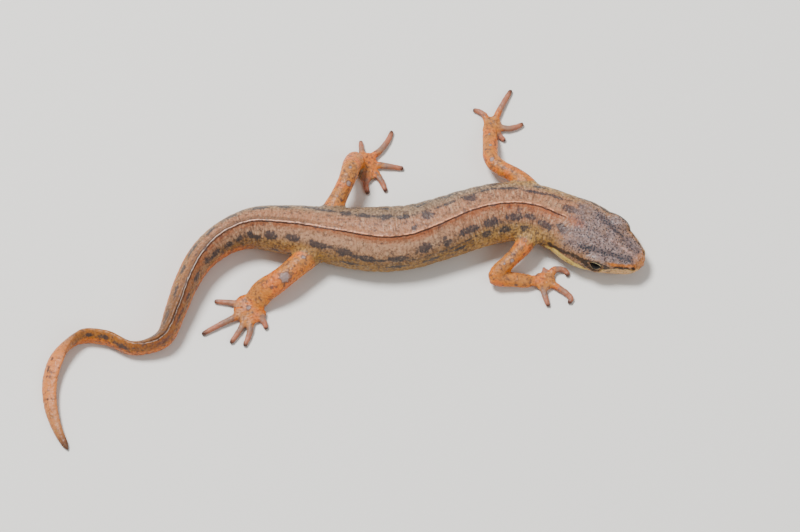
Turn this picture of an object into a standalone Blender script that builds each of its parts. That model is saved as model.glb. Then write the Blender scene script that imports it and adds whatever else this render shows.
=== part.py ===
"""A smooth newt in its land dress, life size, as a still museum model lying on a flat floor.

The whole animal is modelled first: one long loft from the snout to the tail's tip, four limbs
with their fingers and toes, lids, mouth, nostrils and vent. It is then parted by thin cuts into
the pieces that a person would name. Lengths are written in millimetres and used in metres.
The snout points to +X, the back is up, and the floor is at Z 0.
"""

import math

import bmesh
import bpy
import numpy as np
from mathutils import Matrix, Vector

MM = 0.001
UP = Vector((0, 0, 1))

# Driving sizes, in millimetres.
BODY_LENGTH = 91.0
GAP = 0.3
SNOUT_ROUND = 1.9
TIP_ROUND = 1.2
BODY_SIDES = 24

# The route of the body's axis over the floor, from snout to tail tip: (x, y).
ROUTE = (
    (27.75, -0.75),
    (25.15, 0.80),
    (21.35, 2.88),
    (18.45, 4.45),
    (15.2, 5.60),
    (11.6, 5.60),
    (8.0, 4.70),
    (4.4, 3.45),
    (0.8, 2.45),
    (-2.8, 2.22),
    (-6.4, 2.52),
    (-10.0, 3.10),
    (-13.6, 3.60),
    (-17.0, 3.75),
    (-20.2, 2.50),
    (-22.7, 0.20),
    (-24.4, -2.95),
    (-25.5, -6.20),
    (-26.9, -9.60),
    (-30.2, -10.60),
    (-33.4, -9.34),
    (-36.0, -9.16),
    (-38.5, -10.95),
    (-39.6, -14.05),
    (-39.4, -17.35),
    (-38.4, -20.30),
    (-37.2, -22.50),
)

# Body stations, by distance from the snout along the axis:
# half width, height, squareness (2 is an ellipse), height of the underside above the floor.
STATIONS = (
    (0.0, 1.80, 2.10, 2.2, 1.05),
    (1.5, 2.12, 2.45, 2.2, 0.90),
    (3.0, 2.80, 2.95, 2.3, 0.75),
    (4.7, 3.38, 3.45, 2.3, 0.60),
    (6.5, 3.82, 3.85, 2.3, 0.50),
    (8.2, 3.92, 4.20, 2.2, 0.40),
    (10.0, 3.72, 4.40, 2.1, 0.35),
    (12.0, 3.50, 4.60, 2.0, 0.30),
    (15.0, 3.42, 5.05, 2.0, 0.15),
    (18.0, 3.55, 5.50, 2.0, -0.05),
    (22.0, 3.60, 5.75, 2.0, -0.12),
    (27.0, 3.62, 5.85, 2.0, -0.12),
    (32.0, 3.78, 5.85, 2.0, -0.12),
    (36.0, 3.56, 5.75, 2.0, -0.12),
    (39.5, 3.20, 5.55, 2.0, -0.08),
    (43.0, 2.90, 5.30, 2.0, 0.00),
    (46.5, 2.55, 5.10, 1.95, -0.04),
    (49.5, 2.12, 4.90, 1.9, -0.06),
    (53.0, 1.80, 4.65, 1.8, -0.06),
    (57.0, 1.48, 4.30, 1.75, -0.06),
    (60.0, 1.33, 4.05, 1.7, -0.06),
    (65.0, 1.06, 3.28, 1.7, -0.06),
    (69.0, 0.71, 2.36, 1.7, -0.06),
    (73.0, 0.65, 2.22, 1.7, -0.06),
    (77.0, 0.62, 2.20, 1.7, -0.06),
    (80.0, 0.60, 2.14, 1.7, -0.05),
    (82.0, 0.55, 1.96, 1.8, -0.05),
    (84.0, 0.51, 1.75, 1.8, -0.05),
    (86.5, 0.46, 1.45, 1.9, -0.04),
    (88.5, 0.40, 1.12, 1.9, -0.03),
    (91.0, 0.32, 0.70, 2.0, -0.02),
)

# Lean of the back to the animal's right, in degrees, by distance from the snout.
LEAN = (
    (0.0, 0.0),
    (12.0, 2.0),
    (20.0, 2.0),
    (31.0, 18.0),
    (38.0, 8.0),
    (50.0, 6.0),
    (58.0, 12.0),
    (65.0, 2.0),
    (69.0, -6.0),
    (73.0, -20.0),
    (75.0, -18.0),
    (76.8, 8.0),
    (79.5, 50.0),
    (91.0, 62.0),
)

# The share of a section's height that lies above its widest line, by distance from the snout.
UPPER_SHARE = ((0.0, 0.55), (6.0, 0.58), (14.0, 0.54), (45.0, 0.55), (91.0, 0.5))

# The low ridge along the middle of the back and tail: height, by distance from the snout.
RIDGE_HEIGHT = ((0.0, 0.0), (10.0, 0.0), (14.0, 0.16), (46.0, 0.24), (80.0, 0.22), (91.0, 0.0))
RIDGE_HALF_WIDTH = 0.45

# Ring spacing along the body: (up to this distance, spacing).
RING_SPACING = ((10.5, 0.6), (44.0, 1.25), (66.0, 1.4), (91.0, 1.1))

# Where the body is parted: name of the piece that ends there, and the distance of the cut.
BODY_PIECES = (
    ("head", 9.8),
    ("neck", 12.6),
    ("chest", 19.5),
    ("belly", 35.5),
    ("pelvis", 44.5),
    ("tail_base", 55.0),
    ("tail_middle", 66.0),
    ("tail_bend", 77.5),
    ("tail_tip", BODY_LENGTH),
)


class Track:
    """A smooth value along the body that goes through a few set values and doesn't overshoot."""

    def __init__(self, pairs, level=True):
        self.at = np.array([p[0] for p in pairs], float)
        self.value = np.array([p[1] for p in pairs], float)
        step = np.diff(self.at)
        rise = np.diff(self.value) / step
        slope = np.zeros(len(self.at))
        slope[1:-1] = (rise[:-1] * step[1:] + rise[1:] * step[:-1]) / (step[1:] + step[:-1])
        slope[0], slope[-1] = rise[0], rise[-1]
        if level:
            turning = rise[:-1] * rise[1:] <= 0
            slope[1:-1][turning] = 0
            limit = 3 * np.minimum(np.abs(rise[:-1]), np.abs(rise[1:]))
            slope[1:-1] = np.clip(slope[1:-1], -limit, limit)
        self.slope = slope

    def __call__(self, x):
        x = min(max(x, self.at[0]), self.at[-1])
        i = min(max(int(np.searchsorted(self.at, x)) - 1, 0), len(self.at) - 2)
        width = self.at[i + 1] - self.at[i]
        t = (x - self.at[i]) / width
        return (
            self.value[i] * (1 + 2 * t) * (1 - t) ** 2
            + self.slope[i] * width * t * (1 - t) ** 2
            + self.value[i + 1] * t * t * (3 - 2 * t)
            + self.slope[i + 1] * width * t * t * (t - 1)
        )


def chord_lengths(points):
    """Distance along a chain of points, at each of them."""
    steps = [(Vector(b) - Vector(a)).length for a, b in zip(points, points[1:])]
    return [0.0] + [sum(steps[: i + 1]) for i in range(len(steps))]


class Route:
    """A smooth path through a few points of the floor or of space."""

    def __init__(self, points):
        self.distance = chord_lengths(points)
        self.tracks = [
            Track(list(zip(self.distance, axis)), level=False) for axis in zip(*points)
        ]

    @property
    def length(self):
        return self.distance[-1]

    def point(self, s):
        return Vector([track(s) for track in self.tracks])

    def direction(self, s):
        small = 0.05
        ahead = self.point(min(s + small, self.length))
        behind = self.point(max(s - small, 0))
        return (ahead - behind).normalized()


class Body:
    """The loft from snout to tail tip: where its axis runs, and its section at each distance."""

    def __init__(self):
        self.route = Route(ROUTE)
        self.scale = self.route.length / BODY_LENGTH
        self.half_width = Track([(s[0], s[1]) for s in STATIONS])
        self.height = Track([(s[0], s[2]) for s in STATIONS])
        self.squareness = Track([(s[0], s[3]) for s in STATIONS])
        self.clearance = Track([(s[0], s[4]) for s in STATIONS])
        self.lean = Track(LEAN)
        self.upper_share = Track(UPPER_SHARE)
        self.ridge = Track(RIDGE_HEIGHT)

    def rounding(self, s):
        """Share of the full section that is left near the blunt snout and the tail's tip."""
        from_snout = min(s / SNOUT_ROUND, 1)
        from_tip = min((BODY_LENGTH - s) / TIP_ROUND, 1)
        ends = (1 - (1 - from_snout) ** 2) * (1 - (1 - from_tip) ** 2)
        return math.sqrt(max(ends, 0))

    def axes(self, s):
        """Forward, left and up of the animal at a distance from the snout."""
        back = self.route.direction(s * self.scale)
        forward = Vector((-back.x, -back.y, 0))
        left = UP.cross(forward)
        lean = math.radians(self.lean(s))
        return forward, left * math.cos(lean) + UP * math.sin(lean), (
            UP * math.cos(lean) - left * math.sin(lean)
        )

    def outline(self, s, angle):
        """Sideways and upward reach of the section at an angle; 0 is left and 90 degrees is up."""
        power = 2 / self.squareness(s)
        across, rise = math.cos(angle), math.sin(angle)
        share = self.upper_share(s) if rise > 0 else 1 - self.upper_share(s)
        side = self.half_width(s) * math.copysign(abs(across) ** power, across)
        up = self.height(s) * share * math.copysign(abs(rise) ** power, rise)
        if rise > 0:
            up += self.ridge(s) * math.exp(-((side / RIDGE_HALF_WIDTH) ** 2))
        return side * self.rounding(s), up * self.rounding(s)

    def axis_height(self, s):
        """Height of the section's widest line, such that its underside has its set clearance."""
        _, left, up = self.axes(s)
        lowest = 0.0
        for i in range(BODY_SIDES):
            side, rise = self.outline(s, 2 * math.pi * i / BODY_SIDES)
            lowest = min(lowest, side * left.z + rise * up.z)
        full = lowest / max(self.rounding(s), 0.05)
        return self.clearance(s) - full

    def place(self, s, side, rise):
        """A point in space, from a distance along the body and its place in the section."""
        _, left, up = self.axes(s)
        base = self.route.point(s * self.scale)
        centre = Vector((base.x, base.y, self.axis_height(s)))
        return centre + left * side + up * rise

    def surface(self, s, angle):
        """The point of the skin at a distance and an angle round the section."""
        return self.place(s, *self.outline(s, angle))


# Limbs, as chains from the root inside the body: (x, y, z), half width, half thickness.
# Fingers and toes each start inside the palm and run to their tip.
LIMBS = {
    "fore_right": {
        "arm": (
            ((15.0, 3.5, 2.7), 1.5, 1.4),
            ((14.1, 1.4, 2.5), 1.05, 1.05),
            ((13.2, 0.4, 2.2), 0.9, 0.92),
            ((12.1, -0.6, 1.9), 0.86, 0.88),
            ((11.2, -1.4, 1.6), 0.88, 0.88),
            ((10.9, -2.0, 1.3), 0.9, 0.84),
            ((11.8, -2.1, 1.1), 0.88, 0.78),
            ((13.0, -2.1, 0.95), 0.86, 0.72),
            ((14.4, -2.2, 0.8), 0.84, 0.62),
            ((15.7, -2.1, 0.6), 0.8, 0.46),
        ),
        "palm": (
            ((15.1, -2.2, 0.7), 0.78, 0.52),
            ((16.1, -2.1, 0.56), 1.08, 0.46),
            ((17.1, -2.0, 0.44), 1.15, 0.4),
            ((17.9, -2.1, 0.36), 0.75, 0.3),
        ),
        "digits": (
            ((16.4, -1.6, 0.45), (16.6, -0.7, 0.36), (16.6, -0.2, 0.28)),
            (
                (17.1, -1.4, 0.45),
                (17.9, -0.6, 0.44),
                (18.7, -0.6, 0.38),
                (19.2, -1.0, 0.3),
                (19.1, -1.5, 0.26),
            ),
            (
                (17.3, -2.3, 0.45),
                (18.3, -3.0, 0.4),
                (19.1, -3.6, 0.36),
                (19.6, -4.2, 0.3),
                (19.2, -4.8, 0.26),
            ),
            ((16.3, -2.7, 0.45), (16.6, -4.0, 0.38), (17.0, -5.2, 0.26)),
        ),
        "cuts": (0.24, 0.45, 0.84),
    },
    "fore_left": {
        "arm": (
            ((15.3, 7.5, 2.7), 1.5, 1.4),
            ((14.5, 9.1, 2.7), 1.1, 1.08),
            ((13.2, 10.3, 2.6), 0.95, 0.96),
            ((11.9, 11.1, 2.5), 0.92, 0.92),
            ((10.9, 12.0, 2.3), 0.92, 0.9),
            ((10.5, 13.0, 2.0), 0.9, 0.86),
            ((10.5, 14.2, 1.6), 0.9, 0.8),
            ((10.5, 15.6, 1.15), 0.88, 0.68),
            ((10.5, 16.8, 0.75), 0.84, 0.52),
            ((10.6, 17.8, 0.55), 0.8, 0.44),
        ),
        "palm": (
            ((10.5, 16.1, 0.85), 0.8, 0.52),
            ((10.6, 17.1, 0.62), 1.02, 0.46),
            ((10.8, 18.1, 0.46), 1.08, 0.4),
            ((10.8, 18.9, 0.36), 0.75, 0.3),
        ),
        "digits": (
            ((11.1, 17.0, 0.45), (11.7, 16.3, 0.36), (12.3, 15.7, 0.28)),
            ((11.2, 17.5, 0.45), (12.8, 17.3, 0.4), (13.8, 17.6, 0.34), (14.5, 18.0, 0.26)),
            ((11.0, 18.2, 0.45), (11.8, 19.9, 0.4), (12.5, 21.3, 0.34), (13.1, 22.4, 0.26)),
            ((10.2, 18.1, 0.45), (9.9, 19.0, 0.4), (9.3, 19.5, 0.34), (8.5, 19.8, 0.26)),
        ),
        "cuts": (0.3, 0.52, 0.84),
    },
    "hind_right": {
        "arm": (
            ((-9.4, 1.3, 2.7), 1.75, 1.6),
            ((-10.5, 0.1, 2.5), 1.42, 1.38),
            ((-11.8, -1.1, 2.5), 1.3, 1.25),
            ((-13.0, -2.2, 2.5), 1.26, 1.18),
            ((-14.2, -3.0, 2.1), 1.36, 1.05),
            ((-15.5, -3.7, 1.5), 1.46, 0.9),
            ((-16.4, -4.5, 0.95), 1.42, 0.7),
            ((-17.2, -5.3, 0.62), 1.25, 0.52),
        ),
        "palm": (
            ((-16.3, -4.3, 0.9), 1.3, 0.62),
            ((-17.0, -5.3, 0.62), 1.92, 0.5),
            ((-17.15, -6.4, 0.46), 1.9, 0.42),
            ((-17.2, -7.4, 0.34), 1.3, 0.3),
        ),
        "digits": (
            ((-16.3, -6.3, 0.46), (-15.5, -7.1, 0.38), (-15.2, -8.0, 0.28)),
            ((-17.0, -7.0, 0.46), (-17.1, -8.4, 0.38), (-17.7, -10.1, 0.26)),
            ((-17.6, -6.9, 0.46), (-18.3, -8.2, 0.38), (-19.3, -9.7, 0.26)),
            ((-17.9, -6.1, 0.46), (-20.3, -7.3, 0.4), (-22.6, -8.6, 0.26)),
            ((-17.8, -5.0, 0.46), (-19.5, -4.7, 0.38), (-21.3, -4.5, 0.26)),
        ),
        "cuts": (0.27, 0.52, 0.84),
    },
    "hind_left": {
        "arm": (
            ((-8.4, 4.1, 2.7), 1.75, 1.6),
            ((-7.6, 6.0, 3.1), 1.2, 1.25),
            ((-6.8, 7.6, 3.5), 1.0, 1.08),
            ((-6.2, 8.9, 3.8), 0.98, 1.02),
            ((-5.8, 10.2, 3.6), 1.06, 1.0),
            ((-5.5, 11.7, 2.6), 1.12, 0.95),
            ((-5.0, 12.7, 1.6), 1.2, 0.8),
            ((-4.3, 13.1, 0.8), 1.2, 0.55),
        ),
        "palm": (
            ((-5.0, 12.8, 1.05), 1.15, 0.62),
            ((-4.2, 12.5, 0.66), 1.72, 0.52),
            ((-3.3, 12.1, 0.48), 2.0, 0.42),
            ((-2.7, 12.0, 0.34), 1.5, 0.3),
        ),
        "digits": (
            ((-3.8, 11.8, 0.46), (-4.0, 10.4, 0.38), (-3.7, 8.9, 0.28)),
            ((-2.9, 11.8, 0.46), (-2.1, 10.4, 0.38), (-1.6, 9.2, 0.26)),
            ((-2.8, 12.6, 0.46), (-1.1, 12.4, 0.38), (0.5, 12.2, 0.26)),
            ((-3.4, 13.5, 0.46), (-2.1, 14.7, 0.4), (-1.3, 16.0, 0.34), (-0.9, 17.1, 0.26)),
            ((-4.3, 13.5, 0.46), (-4.5, 14.7, 0.38), (-4.6, 15.8, 0.28)),
        ),
        "cuts": (0.34, 0.56, 0.84),
    },
}
LIMB_PIECES = {
    "fore": ("upper_arm", "forearm", "hand"),
    "hind": ("thigh", "shank", "foot"),
}
HANDS = (("left", 1), ("right", -1))
DIGIT_ROOT = 0.44
DIGIT_TIP = 0.27

# The eye: distance from the snout, sideways, above the widest line, and its radius.
# Hand 1 is the animal's left, where the photo shows the lids standing out further.
EYE_ALONG = 4.8
EYE_SIDE = {1: 2.72, -1: 2.6}
EYE_RISE = {1: 0.86, -1: 0.72}
EYE_RADIUS = 0.86
EYE_GAP = 0.14
EYE_TURN_UP = 28
EYE_TURN_FORWARD = 8
LID_BULGE = (1.62, 1.24, 1.15)
LID_OPENING = (0.78, 0.54)
LID_RIM_PATH = (0.96, 0.72, 1.12)
LID_RIM = 0.19

# The mouth: its line runs round the snout to the corner of the jaw.
MOUTH_CORNER = 6.9
MOUTH_ANGLE = -14
MOUTH_GROOVE = 0.15
NOSTRIL_ALONG = 0.75
NOSTRIL_ANGLE = 34
NOSTRIL_RADIUS = 0.20

# Looks of the pieces: colour, roughness and metallic value.
BACK_SKIN = ((0.23, 0.15, 0.11), 0.42, 0.0)
LIMB_SKIN = ((0.50, 0.22, 0.11), 0.45, 0.0)
EYE_SURFACE = ((0.02, 0.015, 0.01), 0.08, 0.0)


def collection(name, parent=None):
    """A new collection, linked into the scene."""
    made = bpy.data.collections.new(name)
    (parent or bpy.context.scene.collection).children.link(made)
    return made


def object_from(bm, name, into):
    """An object, in a collection, from a bmesh whose lengths are in millimetres."""
    bmesh.ops.recalc_face_normals(bm, faces=bm.faces)
    mesh = bpy.data.meshes.new(name)
    bm.to_mesh(mesh)
    bm.free()
    made = bpy.data.objects.new(name, mesh)
    into.objects.link(made)
    return made


def loft(name, rings, into):
    """A closed skin over a row of rings of equal count, with both ends capped."""
    bm = bmesh.new()
    rows = [[bm.verts.new(p) for p in ring] for ring in rings]
    for near, far in zip(rows, rows[1:]):
        for i in range(len(near)):
            j = (i + 1) % len(near)
            bm.faces.new((near[i], near[j], far[j], far[i]))
    bm.faces.new(rows[0])
    bm.faces.new(rows[-1])
    return object_from(bm, name, into)


def ring_distances():
    """Distances of the body's rings: close on the head and tail, and closing in at both ends."""
    found = [SNOUT_ROUND * share for share in (0.004, 0.05, 0.15, 0.32, 0.55, 0.8)]
    for limit, spacing in RING_SPACING:
        while found[-1] + spacing < min(limit, BODY_LENGTH - TIP_ROUND):
            found.append(found[-1] + spacing)
    found += [BODY_LENGTH - TIP_ROUND * share for share in (0.75, 0.45, 0.2, 0.05, 0.006)]
    return found


def make_body(body, into):
    """The loft from snout to tail tip."""
    rings = []
    for s in ring_distances():
        angles = [2 * math.pi * i / BODY_SIDES for i in range(BODY_SIDES)]
        rings.append([body.surface(s, a) for a in angles])
    return loft("body", rings, into)


def make_limb_tube(name, chain, into, sides=12, spacing=0.8):
    """A limb length or palm: a loft of flat ovals along a chain, round at both ends."""
    route = Route([step[0] for step in chain])
    wide = Track([(d, step[1]) for d, step in zip(route.distance, chain)])
    thick = Track([(d, step[2]) for d, step in zip(route.distance, chain)])
    end = min(chain[-1][1], route.length / 3)
    count = max(int((route.length - 2 * end) / spacing), 2)
    inner = [end + (route.length - 2 * end) * i / count for i in range(count + 1)]
    near = [end * (1 - math.cos(a)) for a in (0.35, 0.95)]
    far = [end * (1 - math.cos(a)) for a in (1.15, 0.7, 0.25)]
    distances = near + inner + [route.length - e for e in far]
    rings = []
    for d in distances:
        along = route.direction(d)
        side = UP.cross(along).normalized()
        over = along.cross(side)
        from_end = min(d, route.length - d, end) / end
        size = math.sqrt(1 - (1 - from_end) ** 2)
        turn = [2 * math.pi * i / sides for i in range(sides)]
        rings.append(
            [
                route.point(d)
                + side * (wide(d) * size * math.cos(a))
                + over * (thick(d) * size * math.sin(a))
                for a in turn
            ]
        )
    return loft(name, rings, into)


def make_digit(name, points, into):
    """A finger or toe, tapering to a blunt tip."""
    last = len(points) - 1
    chain = [
        (p, DIGIT_ROOT + (DIGIT_TIP - DIGIT_ROOT) * i / last, DIGIT_ROOT * 0.95 - 0.16 * i / last)
        for i, p in enumerate(points)
    ]
    return make_limb_tube(name, chain, into, sides=7, spacing=0.75)


def ellipsoid(name, matrix, radii, into, segments=16, rings=9):
    """A sphere stretched to three radii and placed by a matrix, all in millimetres."""
    bm = bmesh.new()
    bmesh.ops.create_uvsphere(bm, u_segments=segments, v_segments=rings, radius=1)
    bmesh.ops.scale(bm, vec=radii, verts=bm.verts)
    bmesh.ops.transform(bm, matrix=matrix, verts=bm.verts)
    return object_from(bm, name, into)


def disc(name, centre, along, radii, into):
    """A thin oval slab across a length of body or limb: the cutter that parts two pieces."""
    turn = along.to_track_quat("Z", "Y").to_matrix().to_4x4()
    bm = bmesh.new()
    bmesh.ops.create_cone(
        bm, cap_ends=True, segments=24, radius1=1, radius2=1, depth=GAP
    )
    bmesh.ops.scale(bm, vec=(radii[0], radii[1], 1), verts=bm.verts)
    bmesh.ops.transform(bm, matrix=Matrix.Translation(centre) @ turn, verts=bm.verts)
    return object_from(bm, name, into)


def eye_frame(body, hand):
    """The eye's centre and axes: X to the front corner, Y up the lids, Z out of the pupil."""
    forward, left, up = body.axes(EYE_ALONG)
    centre = body.place(EYE_ALONG, EYE_SIDE[hand] * hand, EYE_RISE[hand])
    lift, turn = math.radians(EYE_TURN_UP), math.radians(EYE_TURN_FORWARD)
    out = left * (hand * math.cos(lift)) + up * math.sin(lift)
    out = (out * math.cos(turn) + forward * math.sin(turn)).normalized()
    front = (forward - out * forward.dot(out)).normalized()
    over = out.cross(front) * (1 if out.cross(front).z > 0 else -1)
    frame = Matrix((front, over, out)).transposed().to_4x4()
    return Matrix.Translation(centre) @ frame


def make_lids(body, name, hand, into):
    """The swelling of the lids over the eyeball and the raised rim round their opening."""
    frame = eye_frame(body, hand)
    bulge = frame @ Matrix.Translation((-0.1, 0.06, -0.20))
    ellipsoid(f"{name}_bulge", bulge, LID_BULGE, into)
    along, over, reach = LID_RIM_PATH
    rim, sides, count = [], 6, 18
    bm = bmesh.new()
    for i in range(count):
        a = 2 * math.pi * i / count
        outward = Vector((math.cos(a), math.sin(a), 0))
        x, y = along * outward.x, over * outward.y
        centre = Vector((x, y, math.sqrt(reach**2 - x * x - y * y)))
        ring = []
        for j in range(sides):
            b = 2 * math.pi * j / sides
            step = outward * math.cos(b) + Vector((0, 0, math.sin(b)))
            ring.append(bm.verts.new(frame @ (centre + step * LID_RIM)))
        rim.append(ring)
    for near, far in zip(rim, rim[1:] + rim[:1]):
        for i in range(sides):
            j = (i + 1) % sides
            bm.faces.new((near[i], near[j], far[j], far[i]))
    object_from(bm, f"{name}_rim", into)


def cut_eye_opening(body, name, hand, into):
    """The round socket behind the lids and the oval opening between them."""
    frame = eye_frame(body, hand)
    ellipsoid(f"{name}_socket", frame, (EYE_RADIUS + EYE_GAP,) * 3, into, 18, 12)
    bm = bmesh.new()
    bmesh.ops.create_cone(bm, cap_ends=True, segments=18, radius1=1, radius2=1, depth=1.6)
    bmesh.ops.scale(bm, vec=(*LID_OPENING, 1), verts=bm.verts)
    place = frame @ Matrix.Translation((0, 0, 1.2))
    bmesh.ops.transform(bm, matrix=place, verts=bm.verts)
    object_from(bm, f"{name}_opening", into)


def make_mouth_groove(body, into):
    """A thin tube along the line of the mouth, from one jaw corner round the snout to the other."""
    angle = math.radians(MOUTH_ANGLE)
    shares = [i / 12 for i in range(13)]
    distances = [MOUTH_CORNER * (1 - share) ** 1.6 + 0.012 for share in shares]
    left = [body.surface(s, angle) for s in distances]
    right = [body.surface(s, math.pi - angle) for s in reversed(distances)]
    path = left + right
    curve = bpy.data.curves.new("mouth_groove", "CURVE")
    curve.dimensions = "3D"
    curve.bevel_depth = MOUTH_GROOVE
    curve.bevel_resolution = 1
    curve.use_fill_caps = True
    spline = curve.splines.new("POLY")
    spline.points.add(len(path) - 1)
    for point, place in zip(spline.points, path):
        point.co = (*place, 1)
    drawn = bpy.data.objects.new("mouth_curve", curve)
    into.objects.link(drawn)
    bpy.context.view_layer.update()
    solid = bpy.data.meshes.new_from_object(
        drawn.evaluated_get(bpy.context.evaluated_depsgraph_get())
    )
    bm = bmesh.new()
    bm.from_mesh(solid)
    bmesh.ops.remove_doubles(bm, verts=bm.verts, dist=0.002)
    bm.to_mesh(solid)
    bm.free()
    made = bpy.data.objects.new("mouth_groove", solid)
    made.matrix_world = drawn.matrix_world
    into.objects.link(made)
    bpy.data.objects.remove(drawn)
    return made


def combine(target, operation, operands):
    """Joins a collection's solids to the target, or cuts them from it, and removes them."""
    modifier = target.modifiers.new(operation.lower(), "BOOLEAN")
    modifier.operation = operation
    modifier.operand_type = "COLLECTION"
    modifier.collection = operands
    modifier.solver = "EXACT"
    bpy.context.view_layer.update()
    graph = bpy.context.evaluated_depsgraph_get()
    result = bpy.data.meshes.new_from_object(target.evaluated_get(graph))
    target.modifiers.clear()
    target.data = result
    for used in list(operands.objects):
        bpy.data.objects.remove(used)


def limb_cuts(name, limb, into):
    """Thin slabs that part a limb from the body and into its own lengths."""
    chain = limb["arm"]
    route = Route([step[0] for step in chain])
    wide = Track([(d, step[1]) for d, step in zip(route.distance, chain)])
    for i, share in enumerate(limb["cuts"]):
        d = share * route.length
        reach = wide(d) + (0.75 if i == 0 else 0.32)
        disc(f"{name}_cut_{i}", route.point(d), route.direction(d), (reach, reach), into)


def body_cuts(body, into):
    """Thin slabs across the body between its pieces."""
    for name, s in BODY_PIECES[:-1]:
        forward, _, up = body.axes(s)
        centre = body.place(s, 0, 0)
        reach = max(body.half_width(s), body.height(s) * 0.56) + 0.5
        disc(f"{name}_cut", centre, forward, (reach, reach), into)


def anchors(body):
    """A point inside each piece, by which the parted solids get their names."""
    found = {}
    start = 0.0
    for name, end in BODY_PIECES:
        found[name] = body.place((start + end) / 2, 0, 0)
        start = end
    for limb_name, limb in LIMBS.items():
        kind, side = limb_name.split("_")
        route = Route([step[0] for step in limb["arm"]])
        marks = list(limb["cuts"]) + [1.12]
        for piece, near, far in zip(LIMB_PIECES[kind], marks, marks[1:]):
            share = min((near + far) / 2, 1)
            found[f"{piece}_{side}"] = route.point(share * route.length)
    return found


def part_pieces(whole, body):
    """Splits the cut animal into its loose solids and names each by the anchor nearest to it."""
    bpy.ops.object.select_all(action="DESELECT")
    whole.select_set(True)
    bpy.context.view_layer.objects.active = whole
    bpy.ops.mesh.separate(type="LOOSE")
    solids = list(bpy.context.selected_objects)
    nodes = []
    for name, anchor in anchors(body).items():
        node = min(
            (s for s in solids if len(s.data.vertices) > 20),
            key=lambda solid: min((v.co - anchor).length for v in solid.data.vertices),
        )
        solids.remove(node)
        node.name = name
        node.data.name = name
        nodes.append(node)
    for scrap in solids:
        bpy.data.objects.remove(scrap)
    return nodes


def floor_box(into):
    """A large box under the floor: it cuts the small flats that the animal rests on."""
    bm = bmesh.new()
    bmesh.ops.create_cube(bm, size=1)
    bmesh.ops.scale(bm, vec=(120, 120, 4), verts=bm.verts)
    bmesh.ops.translate(bm, vec=(-5, 0, -2), verts=bm.verts)
    object_from(bm, "floor_cut", into)


def make_whole(body, newt, tools):
    """The whole animal in one solid, before it is parted."""
    whole = make_body(body, newt)
    growth = collection("growth", tools)
    for name, limb in LIMBS.items():
        make_limb_tube(f"{name}_arm", limb["arm"], growth)
        make_limb_tube(f"{name}_palm", limb["palm"], growth)
        for i, digit in enumerate(limb["digits"]):
            make_digit(f"{name}_digit_{i}", digit, growth)
    for name, hand in HANDS:
        make_lids(body, name, hand, growth)
    combine(whole, "UNION", growth)
    hollows = collection("hollows", tools)
    for name, hand in HANDS:
        cut_eye_opening(body, name, hand, hollows)
        nostril = body.surface(NOSTRIL_ALONG, math.radians(90 - hand * (90 - NOSTRIL_ANGLE)))
        pit = Matrix.Translation(nostril)
        ellipsoid(f"nostril_{name}", pit, (NOSTRIL_RADIUS,) * 3, hollows, 10, 6)
    make_mouth_groove(body, hollows)
    combine(whole, "DIFFERENCE", hollows)
    return whole


def colour(node, look):
    """Gives a node a material of its own."""
    base, roughness, metallic = look
    material = bpy.data.materials.new(f"{node.name}_surface")
    material.use_nodes = True
    shader = material.node_tree.nodes["Principled BSDF"]
    shader.inputs["Base Color"].default_value = (*base, 1)
    shader.inputs["Roughness"].default_value = roughness
    shader.inputs["Metallic"].default_value = metallic
    node.data.materials.clear()
    node.data.materials.append(material)


def settle(nodes, newt):
    """Turns millimetres into metres, centres the animal over the origin and sets each node's own origin."""
    corners = [v.co for node in nodes for v in node.data.vertices]
    low = [min(c[axis] for c in corners) for axis in range(2)]
    high = [max(c[axis] for c in corners) for axis in range(2)]
    middle = Vector(((low[0] + high[0]) / 2, (low[1] + high[1]) / 2, 0))
    root = bpy.data.objects.new("smooth_newt_root", None)
    newt.objects.link(root)
    for node in nodes:
        node.data.transform(Matrix.Scale(MM, 4) @ Matrix.Translation(-middle))
        centre = sum((v.co for v in node.data.vertices), Vector()) / len(node.data.vertices)
        node.data.transform(Matrix.Translation(-centre))
        node.location = centre
        node.parent = root
        node.data.shade_smooth()
    print("middle of the plan, in millimetres:", [round(c, 3) for c in middle])


def main():
    """Builds the newt."""
    for old in list(bpy.data.objects):
        bpy.data.objects.remove(old)
    newt = collection("smooth_newt")
    tools = collection("cutters")
    body = Body()
    whole = make_whole(body, newt, tools)
    slabs = collection("slabs", tools)
    body_cuts(body, slabs)
    for name, limb in LIMBS.items():
        limb_cuts(name, limb, slabs)
    floor_box(slabs)
    combine(whole, "DIFFERENCE", slabs)
    nodes = part_pieces(whole, body)
    trunk = [name for name, _ in BODY_PIECES]
    for node in nodes:
        colour(node, BACK_SKIN if node.name in trunk else LIMB_SKIN)
    for name, hand in HANDS:
        eye = ellipsoid(f"eye_{name}", eye_frame(body, hand), (EYE_RADIUS,) * 3, newt, 18, 11)
        colour(eye, EYE_SURFACE)
        nodes.append(eye)
    settle(nodes, newt)


main()
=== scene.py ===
"""The finished look of a smooth newt in its land dress, as a life-size still model.

One skin covers the whole animal. It is rolled from the same sizes as the solids, joined, remeshed
fine, and then sculpted: lids, mouth, nostrils, folds and wrinkles. Two glossy eyes sit in it.
Lengths are written in millimetres and turned to metres at the end.
"""

import logging
import math
from dataclasses import dataclass, field
from enum import Enum

import bpy
import numpy as np
from mathutils import Matrix, Vector, noise
from mathutils.kdtree import KDTree


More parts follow.
